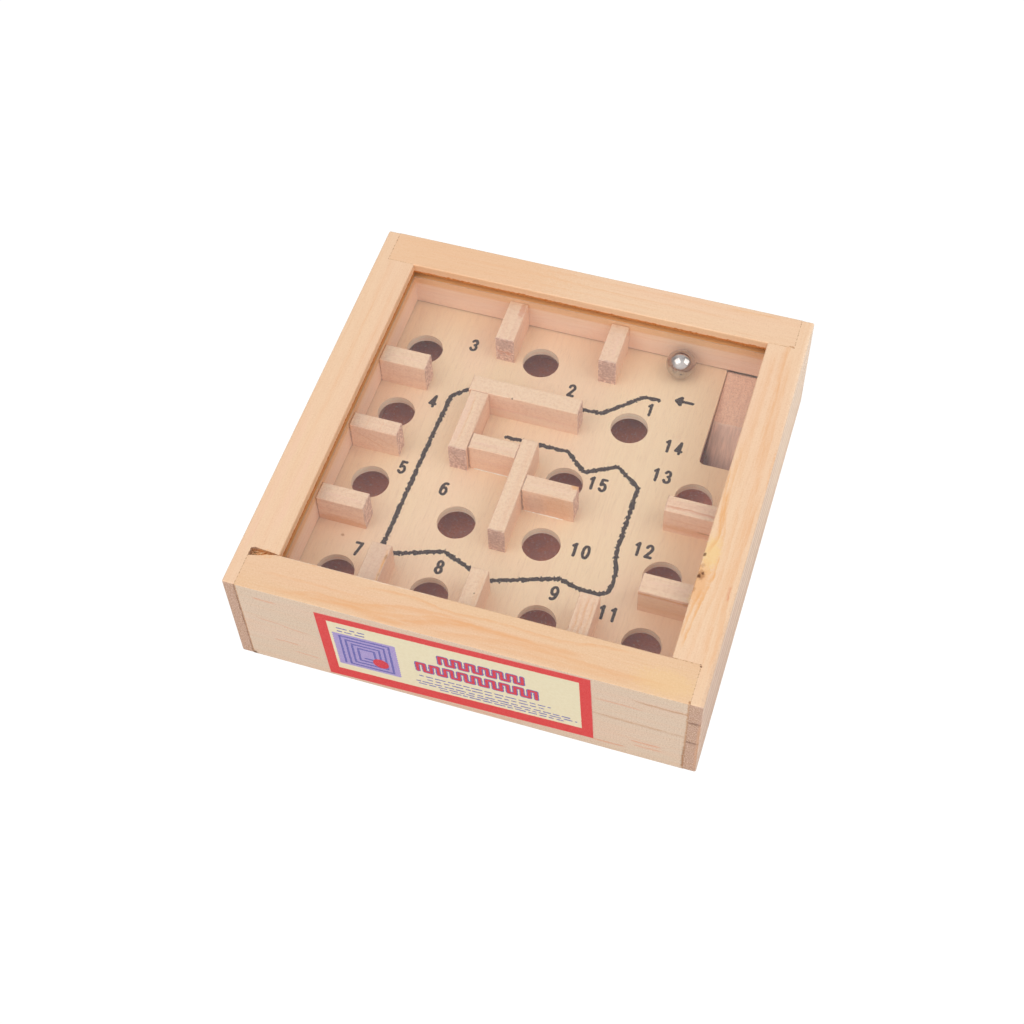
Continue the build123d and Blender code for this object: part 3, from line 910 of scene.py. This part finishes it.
def dress_cover():
    """Clear acrylic. Lamps and bounced light pass straight through it."""
    graph = Graph("clear_acrylic")
    smear = graph.grain(graph.place_mm(), (0.06, 0.03, 0.05), 2.0, 3.0)
    clear = graph.node("BsdfPrincipled", {
        "Base Color": rgb(0.985, 0.99, 0.99),
        "Roughness": graph.step(smear, 0.3, 0.7, 0.0, 0.02),
        "IOR": 1.49,
        "Transmission Weight": 1.0,
    })
    passing = graph.node("BsdfTransparent", {"Color": rgb(0.96, 0.96, 0.96)})
    path = graph.node("LightPath")
    direct = graph.largest(path.outputs["Is Shadow Ray"], path.outputs["Is Diffuse Ray"])
    mixed = graph.node("MixShader", {0: direct, 1: clear.outputs[0], 2: passing.outputs[0]})
    graph.show(mixed)
    dress("clear_cover", graph.material)


def dress_ball():
    """Polished bearing steel with faint handling marks."""
    graph = Graph("polished_steel")
    marks = graph.grain(graph.place_mm(), (1.2, 1.2, 4.0), 0.0, 4.0, 0.7)
    # The warm tint is partly painted reflection of the wood round the ball
    graph.coat(
        rgb(0.52, 0.465, 0.43), graph.step(marks, 0.35, 0.7, 0.06, 0.16),
        graph.bump(marks, 0.05, 0.02), metal=1.0)
    dress("steel_ball", graph.material)
    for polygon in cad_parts["steel_ball"].data.polygons:
        polygon.use_smooth = True


# ---------------------------------------------------------------- ink printed on the board

INK_THICKNESS = 0.02
TRACK_WIDTH = 1.18
DIGIT_HEIGHT = 3.55
DIGIT_WIDTH = 1.5
DIGIT_PEN = 0.80
DIGIT_PITCH = 2.9

TRACK = [
    (24.6, 34.6), (20.7, 34.6), (11.1, 26.1), (5.7, 25.9), (-23.2, 25.9), (-29.3, 20.4), (-30.0, 5.0),
    (-30.6, -29.8), (-30.0, -31.4), (-27.2, -31.8), (-14.9, -27.5), (-7.0, -30.6), (-1.7, -32.7),
    (15.4, -26.9), (21.0, -28.4), (26.0, -28.6), (28.0, -27.3), (28.7, -24.6), (28.5, -21.3),
    (26.9, -15.4), (27.0, 5.3), (20.2, 10.4), (12.6, 6.5), (11.4, 6.8), (6.3, 11.4), (-10.7, 11.4),
]
NUMBER_PLACES = {
    1: (23.4, 30.9), 2: (1.3, 31.3), 3: (-28.9, 38.9), 4: (-33.4, 17.4), 5: (-34.0, -5.7),
    6: (-21.3, -9.1), 7: (-36.4, -33.0), 8: (-14.6, -32.3), 9: (15.4, -31.4), 10: (18.1, -17.5),
    11: (29.85, -33.2), 12: (33.4, -12.7), 13: (31.9, 10.9), 14: (32.5, 20.7), 15: (16.6, 3.6),
}
ARROW_TIP = (28.8, 36.0)
ARROW_LENGTH = 4.9
ARROW_HEAD = (1.75, 1.15)
ARROW_PEN = 0.92


def arc(x, y, rx, ry, start, end, steps=10):
    """Points on an ellipse, angles in degrees."""
    angles = [math.radians(start + (end - start) * i / steps) for i in range(steps + 1)]
    return [(x + rx * math.cos(a), y + ry * math.sin(a)) for a in angles]


# Pen strokes of each digit, in a box one wide and one high
DIGITS = {
    "0": [arc(0.5, 0.5, 0.5, 0.5, 90, 450, 20)],
    "1": [[(0.12, 0.82), (0.52, 1.0), (0.52, 0.0)]],
    "2": [arc(0.5, 0.74, 0.46, 0.26, 170, -30) + [(0.05, 0.0), (1.0, 0.0)]],
    "3": [arc(0.5, 0.76, 0.42, 0.24, 160, -80), arc(0.48, 0.27, 0.50, 0.27, 80, -160)],
    "4": [[(1.0, 0.24), (0.0, 0.24), (0.70, 1.0), (0.70, 0.0)]],
    "5": [[(0.92, 1.0), (0.20, 1.0), (0.12, 0.56)], arc(0.48, 0.31, 0.50, 0.31, 140, -150)],
    "6": [arc(0.5, 0.31, 0.5, 0.31, 0, 360, 18), arc(0.66, 0.40, 0.66, 0.60, 180, 70)],
    "7": [[(0.0, 1.0), (0.98, 1.0), (0.40, 0.0)]],
    "8": [arc(0.5, 0.76, 0.42, 0.24, 0, 360, 16), arc(0.5, 0.26, 0.5, 0.26, 0, 360, 16)],
    "9": [arc(0.5, 0.69, 0.5, 0.31, 0, 360, 18), arc(0.34, 0.60, 0.66, 0.60, 0, -110)],
}


def stroke_distance(points, stroke):
    """Each point's distance from a polyline."""
    nearest = np.full(len(points), 1e9)
    for start, end in zip(stroke[:-1], stroke[1:]):
        a, b = np.array(start, float), np.array(end, float)
        along = b - a
        share = np.clip(((points - a) @ along) / max(along @ along, 1e-12), 0.0, 1.0)
        gap = points - a - share[:, None] * along
        nearest = np.minimum(nearest, np.hypot(gap[:, 0], gap[:, 1]))
    return nearest


def rough_edge(points, scale, seed):
    """Smooth random values from -1 to 1 that change over about scale millimetres."""
    grid = np.random.default_rng(seed).uniform(-1, 1, (64, 64))
    place = points / scale
    cell = np.floor(place).astype(int)
    part = place - cell
    part = part * part * (3 - 2 * part)
    i, j = cell[:, 0] % 64, cell[:, 1] % 64
    i2, j2 = (i + 1) % 64, (j + 1) % 64
    low = grid[i, j] * (1 - part[:, 0]) + grid[i2, j] * part[:, 0]
    high = grid[i, j2] * (1 - part[:, 0]) + grid[i2, j2] * part[:, 0]
    return low * (1 - part[:, 1]) + high * part[:, 1]


def ink_cells(strokes, pen, cell, fray, seed):
    """Grid cells under the pen, with their outer corners pulled on to the inked edge."""
    every = np.array([p for stroke in strokes for p in stroke], float)
    low = every.min(0) - pen
    count = np.ceil((every.max(0) + pen - low) / cell).astype(int) + 1
    columns, rows = np.meshgrid(np.arange(count[0]), np.arange(count[1]), indexing="ij")
    points = low + np.stack([columns, rows], -1).reshape(-1, 2) * cell
    distance = np.min([stroke_distance(points, s) for s in strokes], axis=0) - pen / 2
    distance += fray * (rough_edge(points, 0.45, seed) + 0.6 * rough_edge(points, 0.2, seed + 1))
    field = distance.reshape(count)
    slope_x, slope_y = np.gradient(field, cell)
    slope = np.stack([slope_x, slope_y], -1).reshape(-1, 2)
    size = np.maximum((slope ** 2).sum(1), 0.25)
    outside = distance > 0
    pull = np.clip(distance / size, 0, cell)[:, None] * slope
    points = np.where(outside[:, None], points - pull, points)
    inside = field < 0
    kept = inside[:-1, :-1] | inside[1:, :-1] | inside[:-1, 1:] | inside[1:, 1:]
    i, j = np.nonzero(kept)
    width = count[1]
    corner = i * width + j
    quads = np.stack([corner, corner + width, corner + width + 1, corner + 1], 1)
    return points, quads


def add_piece(name, vertices, faces, material, turn_outwards=False):
    """A mesh piece that goes with the case."""
    mesh = bpy.data.meshes.new(name)
    mesh.from_pydata(vertices, [], faces)
    mesh.update()
    if turn_outwards:
        shell = bmesh.new()
        shell.from_mesh(mesh)
        bmesh.ops.recalc_face_normals(shell, faces=shell.faces)
        shell.to_mesh(mesh)
        shell.free()
    mesh.materials.append(material)
    piece = bpy.data.objects.new(name, mesh)
    bpy.context.scene.collection.objects.link(piece)
    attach(piece, BODY_CASE)
    return piece


def closed_sheet(flats, place, thickness):
    """Vertices and faces of a closed thin sheet made of flat patches. place puts a flat point and a
    height in space."""
    vertices, faces = [], []
    for points, quads in flats:
        used, index = np.unique(quads, return_inverse=True)
        quads = index.reshape(quads.shape)
        start, size = len(vertices), len(used)
        for height in (0.0, thickness):
            vertices += [place(points[k][0], points[k][1], height) for k in used]
        edges = {}
        for quad in quads.tolist():
            faces.append([start + size + k for k in quad])
            faces.append([start + k for k in reversed(quad)])
            for a, b in zip(quad, quad[1:] + quad[:1]):
                if (b, a) in edges:
                    del edges[(b, a)]
                else:
                    edges[(a, b)] = True
        faces += [[start + a, start + b, start + size + b, start + size + a] for a, b in edges]
    return vertices, faces


def digit_strokes(number, centre):
    """The strokes of a printed number, upright and centred on a point."""
    digits = str(number)
    strokes = []
    for index, digit in enumerate(digits):
        left = centre[0] + (index - (len(digits) - 1) / 2) * DIGIT_PITCH - DIGIT_WIDTH / 2
        bottom = centre[1] - DIGIT_HEIGHT / 2
        for stroke in DIGITS[digit]:
            strokes.append([(left + x * DIGIT_WIDTH, bottom + y * DIGIT_HEIGHT) for x, y in stroke])
    return strokes


def ink_material(name, dense, thin):
    """Dry printing ink, with what is under it just showing through in specks."""
    graph = Graph(name)
    grains = graph.grain(graph.place_mm(), (5.0, 2.5, 2.5), 1.0, 3.0, 0.6)
    colour = graph.mix(graph.step(grains, 0.45, 0.70), dense, thin)
    return graph.coat(colour, 0.65, graph.bump(grains, 0.3, 0.03), specular=0.15)


def add_ink(name, flats, place, thickness, material):
    """Ink cells as one thin piece that goes with the case."""
    return add_piece(name, *closed_sheet(flats, place, thickness), material)


def print_board():
    """The dark track, the numbers 1 to 15 and the start arrow, as thin ink on the board."""
    ink = ink_material("board_ink", rgb(0.046, 0.024, 0.020), rgb(0.098, 0.064, 0.054))

    def on_board(x, y, height):
        return (x * MM, y * MM, (BOARD_TOP + height) * MM)

    tip_x, tip_y = ARROW_TIP
    back_x, half = tip_x + ARROW_HEAD[0], ARROW_HEAD[1]
    arrow = [[(tip_x + 0.4, tip_y), (back_x, tip_y + half * side)] for side in (-1.0, -0.5, 0.0, 0.5, 1.0)]
    arrow.append([(back_x, tip_y - half), (back_x, tip_y + half)])
    arrow.append([(tip_x + 0.5, tip_y), (tip_x + ARROW_LENGTH, tip_y)])
    numbers = [
        ink_cells(digit_strokes(number, centre), DIGIT_PEN, 0.08, 0.05, 40 + number)
        for number, centre in NUMBER_PLACES.items()
    ]
    add_ink("printed_track", [ink_cells([TRACK], TRACK_WIDTH, 0.12, 0.28, 5)], on_board, INK_THICKNESS, ink)
    add_ink("printed_numbers", numbers, on_board, INK_THICKNESS, ink)
    add_ink("printed_arrow", [ink_cells(arrow, ARROW_PEN, 0.08, 0.08, 7)], on_board, INK_THICKNESS, ink)


# ---------------------------------------------------------------- label

LABEL_CENTRE = (-1.2, 17.0)
LABEL_SIZE = (69.6, 29.1)
LABEL_TILT = math.radians(2.1)
LABEL_PAPER = 0.085
LABEL_GRID = (70, 30)
LABEL_INK = 0.012
LABEL_FACE = box_mm("front_rail")[0].y
LABEL_BORDERS = {"left": 2.9, "right": 2.9, "top": 2.6, "bottom": 3.9}


def on_label(u, v, height):
    """A point of the label, measured from its middle along its own edges, and out from the rail."""
    x = LABEL_CENTRE[0] + u * math.cos(LABEL_TILT) - v * math.sin(LABEL_TILT)
    z = LABEL_CENTRE[1] + u * math.sin(LABEL_TILT) + v * math.cos(LABEL_TILT)
    return (x * MM, (LABEL_FACE - height) * MM, z * MM)


def paper_cells():
    """The paper's own outline as a grid of small cells, with a slightly uneven cut."""
    half_u, half_v = LABEL_SIZE[0] / 2, LABEL_SIZE[1] / 2
    wide, tall = LABEL_GRID
    across = np.linspace(-half_u, half_u, wide + 1)
    up = np.linspace(-half_v, half_v, tall + 1)
    columns, rows = np.meshgrid(across, up, indexing="ij")
    points = np.stack([columns, rows], -1).reshape(-1, 2)
    uneven = 0.05 * rough_edge(points, 6.0, 3)
    shrink = 1.0 - (0.06 + uneven[:, None]) / np.array([half_u, half_v])
    points = points * shrink
    i, j = (a.ravel() for a in np.meshgrid(np.arange(wide), np.arange(tall), indexing="ij"))
    row = tall + 1
    corner = i * row + j
    return points, np.stack([corner, corner + row, corner + row + 1, corner + 1], 1)


def paper_material():
    """Coated paper with a red printed border round a cream field."""
    graph = Graph("label_paper")
    x, y, z = place = graph.place_mm()
    cos, sin = math.cos(LABEL_TILT), math.sin(LABEL_TILT)
    right, up = graph.minus(x, LABEL_CENTRE[0]), graph.minus(z, LABEL_CENTRE[1])
    u = graph.add(graph.times(right, cos), graph.times(up, sin))
    v = graph.minus(graph.times(up, cos), graph.times(right, sin))
    rough = graph.times(graph.minus(graph.grain(place, 1.5, 0.0, 3.0), 0.5), 0.25)
    half_u, half_v = LABEL_SIZE[0] / 2, LABEL_SIZE[1] / 2
    inside = graph.smallest(
        graph.minus(graph.add(u, half_u), LABEL_BORDERS["left"]),
        graph.minus(half_u - LABEL_BORDERS["right"], u),
        graph.minus(graph.add(v, half_v), LABEL_BORDERS["bottom"]),
        graph.minus(half_v - LABEL_BORDERS["top"], v),
    )
    depth = graph.add(inside, rough)
    fibres = graph.grain(place, 1.1, 4.0, 4.0, 0.7)
    ink_speckle = graph.grain(place, 6.0, 8.0, 2.0)
    red = graph.mix(graph.step(ink_speckle, 0.35, 0.7), rgb(0.62, 0.024, 0.024), rgb(0.69, 0.055, 0.050))
    red = graph.tint(red, fibres, 0.55, 0.75, 0.3, rgb(0.60, 0.05, 0.06))
    cream = graph.mix(graph.step(fibres, 0.3, 0.7), rgb(0.72, 0.62, 0.40), rgb(0.76, 0.67, 0.46))
    colour = graph.mix(graph.step(depth, -0.05, 0.10), red, cream)
    edge = graph.minus(0.16, graph.smallest(graph.minus(half_u, graph.absolute(u)),
                                            graph.minus(half_v, graph.absolute(v))))
    colour = graph.tint(colour, graph.add(edge, rough), 0.0, 0.10, 0.35, rgb(0.80, 0.55, 0.50))
    return graph.coat(
        colour, graph.step(fibres, 0.3, 0.7, 0.42, 0.55),
        graph.bump(fibres, 0.15, 0.03), specular=0.28)


def spiral(centre, side, turns):
    """A square spiral from the outside in, with one gap per turn like a maze."""
    x, y = centre
    half, gap = side / 2, side / 2 / (turns + 0.5)
    points = [(x - half, y - half)]
    for turn in range(turns):
        out = half - turn * gap
        points += [(x - out, y + out), (x + out, y + out), (x + out, y - out), (x - out + gap, y - out)]
    return [points]


def meander(left, right, bottom, height, pitch):
    """A square wave: the border pattern that stands where the title was."""
    points = []
    u, low = left, True
    while u <= right:
        first, second = (bottom, bottom + height) if low else (bottom + height, bottom)
        points += [(u, first), (u, second)]
        u, low = u + pitch, not low
    return [points]


def dashes(rows, left, right, seed):
    """Rows of short dashes of uneven length."""
    rng = np.random.default_rng(seed)
    strokes = []
    for v, start, end in rows:
        u = left + start
        while u < right - end:
            length = rng.uniform(0.8, 2.6)
            strokes.append([(u, v), (min(u + length, right - end), v)])
            u += length + rng.uniform(0.75, 1.1)
    return strokes


def make_label():
    """Paper label with generic art: a small spiral maze, a ball, meanders and dashes."""
    paper = add_ink("label_paper", [paper_cells()], on_label, LABEL_PAPER, paper_material())
    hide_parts("front_label")
    violet = ink_material("label_violet", rgb(0.135, 0.125, 0.36), rgb(0.24, 0.22, 0.44))
    lilac = ink_material("label_lilac", rgb(0.36, 0.28, 0.52), rgb(0.46, 0.38, 0.58))
    red = ink_material("label_red", rgb(0.60, 0.045, 0.065), rgb(0.68, 0.10, 0.11))

    def above(height):
        def place(u, v, thickness):
            return on_label(u, v, LABEL_PAPER - 0.002 + height * LABEL_INK + thickness)
        return place

    tile = [[(-30.6, v), (-15.2, v)] for v in np.arange(-7.4, 6.7, 1.0)]
    maze = spiral((-22.9, -0.4), 12.8, 4)
    ball = [arc(-19.6, -3.4, r, r, 0, 360, 20) for r in (0.3, 0.8, 1.3, 1.8)]
    titles = meander(-3.4, 17.6, 4.2, 3.2, 1.75) + meander(-9.6, 22.6, -1.5, 3.4, 1.79)
    rows = [(-4.2, 1.0, 6.5), (-5.6, 3.0, 8.0), (-7.1, 0.0, 1.0), (-8.2, 0.5, 0.0), (-9.3, 6.0, 3.0)]
    small = dashes(rows, -10.5, 30.6, 65)
    small += dashes([(9.6, 0.0, 0.0), (8.2, 0.0, 0.0)], -29.4, -22.0, 66)
    # Strokes, pen width, cell size, fray, seed, layer and ink of each printed piece
    prints = {
        "label_tile": (tile, 1.1, 0.2, 0.04, 60, 0, lilac),
        "label_maze": (maze, 0.62, 0.12, 0.05, 61, 1, violet),
        "label_ball": (ball, 0.62, 0.12, 0.04, 62, 2, red),
        "label_shadow": (titles, 1.35, 0.14, 0.05, 63, 0, violet),
        "label_meander": (titles, 0.80, 0.12, 0.04, 64, 1, red),
        "label_dashes": (small, 0.42, 0.10, 0.05, 67, 0, violet),
    }
    for name, (*drawn, layer, ink) in prints.items():
        add_ink(name, [ink_cells(*drawn)], above(layer), LABEL_INK, ink)


# ---------------------------------------------------------------- torn fibres and glue


def lofted(name, strips, material):
    """One closed mesh per strip through loops of points, all in one piece on the case."""
    vertices, faces = [], []
    for loops in strips:
        start, count = len(vertices), len(loops[0])
        vertices += [tuple(c * MM for c in point) for loop in loops for point in loop]
        for i in range(len(loops) - 1):
            a, b = start + i * count, start + (i + 1) * count
            faces += [(a + j, a + (j + 1) % count, b + (j + 1) % count, b + j) for j in range(count)]
        faces.append(tuple(start + j for j in reversed(range(count))))
        faces.append(tuple(start + (len(loops) - 1) * count + j for j in range(count)))
    add_piece(name, vertices, faces, material, turn_outwards=True)


def wave_1d(places, scale, seed):
    """Smooth random values from -1 to 1 along a line."""
    flat = np.stack([places, np.full(len(places), 0.37)], -1)
    return rough_edge(flat, scale, seed)


def fray_material():
    graph = Graph("fray_gap_shade")
    fuzz = graph.grain(graph.place_mm(), (2.5, 2.5, 5.0), 3.0, 3.0, 0.7)
    # Dark orange-brown: painted shade of the gap between the lip and the cover
    colour = graph.mix(graph.step(fuzz, 0.45, 0.75), rgb(0.58, 0.170, 0.030), rgb(0.85, 0.42, 0.14))
    return graph.coat(colour, 0.85, graph.bump(fuzz, 0.6, 0.08))


FRAY_STEP = 0.16
FRAY_PROUD = 0.04
FRAY_DEPTH = 0.35


def add_fray():
    """A ragged edge of torn fibres under the lip of each rail, coloured as painted shade of the gap over the
    cover.
    """
    material = fray_material()
    sides = {
        "fray_front": (OPEN_LEFT, OPEN_RIGHT, lambda s, d: (s, OPEN_FRONT + d)),
        "fray_back": (OPEN_LEFT, OPEN_RIGHT, lambda s, d: (s, OPEN_BACK - d)),
        "fray_left": (OPEN_FRONT, OPEN_BACK, lambda s, d: (OPEN_LEFT + d, s)),
        "fray_right": (OPEN_FRONT, OPEN_BACK, lambda s, d: (OPEN_RIGHT - d, s)),
    }
    for index, (name, (start, end, place)) in enumerate(sides.items()):
        along = np.arange(start + 0.1, end - 0.1, FRAY_STEP)
        seed = 80 + 5 * index
        bites = np.clip(wave_1d(along, 0.5, seed) + 0.5 * wave_1d(along, 2.3, seed + 1), 0, 1)
        torn = np.clip(wave_1d(along, 0.35, seed + 2), -1, 1) + 0.6 * wave_1d(along, 1.7, seed + 3)
        highest = LIP_LOW + 0.02 + 0.30 * bites
        lowest = np.maximum(LIP_LOW - 0.50 + 0.22 * torn, COVER_TOP + 0.05)
        loops = []
        for s, top, bottom in zip(along, highest, lowest):
            near, far = place(s, FRAY_PROUD), place(s, -FRAY_DEPTH)
            loops.append([(*near, top), (*near, bottom), (*far, bottom + 0.1), (*far, LIP_LOW + 0.02)])
        lofted(name, [loops], material)


# Torn fibres in the broken corner: start, end, thickness and how high the fibre's middle lifts
SPLINTERS = [
    ((-54.6, -50.6, 31.75), (-50.0, -49.2, 32.3), 0.50, 0.35),
    ((-54.2, -50.0, 31.70), (-50.4, -49.0, 32.0), 0.42, 0.10),
    ((-53.6, -50.3, 31.80), (-51.0, -49.4, 32.8), 0.36, 0.25),
    ((-53.9, -49.4, 31.70), (-51.6, -49.0, 32.5), 0.40, 0.20),
    ((-55.4, -50.9, 31.75), (-53.0, -50.2, 32.4), 0.34, 0.20),
    ((-55.0, -49.3, 31.75), (-53.0, -48.9, 32.7), 0.34, 0.15),
    ((-52.6, -49.7, 31.75), (-50.2, -49.1, 32.7), 0.34, 0.30),
    ((-56.1, -49.1, 31.75), (-54.6, -48.8, 32.3), 0.30, 0.10),
    ((-53.0, -49.2, 32.10), (-51.7, -49.0, 33.0), 0.26, 0.10),
    ((-54.6, -49.8, 31.75), (-53.4, -49.2, 33.1), 0.26, 0.05),
    ((-56.2, -50.4, 31.75), (-55.0, -49.4, 32.1), 0.40, 0.10),
]


def add_splinters():
    """Fibres that stayed in the broken-out corner at the front left."""
    graph = Graph("torn_fibres")
    place = graph.place_mm()
    fuzz = graph.grain(place, (1.2, 3.0, 3.0), 1.0, 3.0, 0.7)
    colour = graph.mix(graph.step(fuzz, 0.35, 0.65), rgb(0.78, 0.42, 0.16), rgb(0.95, 0.72, 0.44))
    # Painted shade: the fibres darken towards the deep end of the broken-out corner
    colour = graph.tint(colour, place[0], -54.9, -56.0, 0.8, rgb(0.15, 0.06, 0.02))
    graph.coat(colour, 0.8, graph.bump(fuzz, 0.6, 0.08))
    strips = []
    for index, (start, end, thick, lift) in enumerate(SPLINTERS):
        start, end = Vector(start), Vector(end)
        along = (end - start).normalized()
        side = along.cross(Vector((0, 0, 1))).normalized()
        up = side.cross(along)
        loops = []
        for i in range(7):
            t = i / 6
            middle = start.lerp(end, t) + Vector((0, 0, lift * math.sin(math.pi * t)))
            wide = thick * (0.55 + 0.45 * math.sin(math.pi * min(1.0, t + 0.25))) * (1.0 - 0.8 * t * t) / 2
            twist = 0.5 * index + 0.6 * t
            loops.append([
                middle + wide * (math.cos(twist + a) * side + 0.7 * math.sin(twist + a) * up)
                for a in (0.0, 1.26, 2.51, 3.77, 5.03)
            ])
        strips.append(loops)
    lofted("splinter_fibres", strips, graph.material)


# Blocks with a glue bead at their foot, and where it starts and ends as shares of their width
GLUED_FEET = {"centre_block_short": (0.10, 0.95), "centre_block_right": (0.05, 0.80)}


def add_glue():
    """Dried glue that squeezed out at the feet of two blocks."""
    graph = Graph("dried_glue")
    cloud = graph.grain(graph.place_mm(), 1.5, 0.0, 3.0)
    colour = graph.mix(graph.step(cloud, 0.35, 0.65), rgb(0.88, 0.74, 0.58), rgb(0.93, 0.86, 0.76))
    graph.coat(colour, graph.step(cloud, 0.3, 0.7, 0.25, 0.45), graph.bump(cloud, 0.3, 0.05))
    strips = []
    for index, (node, (first, last)) in enumerate(GLUED_FEET.items()):
        low, high = box_mm(node)
        places = np.arange(low.x + first * (high.x - low.x), low.x + last * (high.x - low.x), 0.25)
        width = 0.17 + 0.12 * wave_1d(places, 1.1, 90 + index)
        tall = 0.20 + 0.14 * wave_1d(places, 0.8, 95 + index)
        foot, back = BOARD_TOP - 0.01, low.y + 0.02
        strips.append([
            [(x, back, foot), (x, back, BOARD_TOP + t), (x, low.y - 0.6 * w, BOARD_TOP + 0.5 * t),
             (x, low.y - w, foot)]
            for x, w, t in zip(places, width, tall)
        ])
    lofted("glue_beads", strips, graph.material)


SEAM_HALF = 0.36
SEAM_TOP = 0.04
SEAM_DEEP = 0.36


def add_seam_fill():
    """Glue and sanding dust that fill the groove along the shoulder of three corner joints."""
    graph = Graph("seam_fill")
    dust = graph.grain(graph.place_mm(), 1.6, 5.0, 3.0, 0.7)
    colour = graph.mix(graph.step(dust, 0.35, 0.60), rgb(0.50, 0.280, 0.140), rgb(0.76, 0.500, 0.300))
    graph.coat(colour, 0.8, graph.bump(dust, 0.4, 0.05))
    strips = []
    for start, end, y in (
        (OPEN_RIGHT, JOINT_X, OPEN_FRONT), (OPEN_RIGHT, JOINT_X, OPEN_BACK), (-JOINT_X, OPEN_LEFT, OPEN_BACK),
    ):
        places = np.arange(start + 0.4, end - 0.3, 0.3)
        halves = SEAM_HALF + 0.04 * wave_1d(places, 0.9, 97)
        top, deep = RAIL_TOP - SEAM_TOP, RAIL_TOP - SEAM_DEEP
        strips.append([
            [(x, y - half, top), (x, y + half, top), (x, y, deep)] for x, half in zip(places, halves)
        ])
    lofted("seam_fill", strips, graph.material)


# ---------------------------------------------------------------- put it together

add_camera()
add_studio()
dress_rails()
dress_blocks()
dress_ramp()
dress_board()
dress_base()
dress_cover()
dress_ball()
print_board()
make_label()
add_fray()
add_splinters()
add_glue()
add_seam_fill()
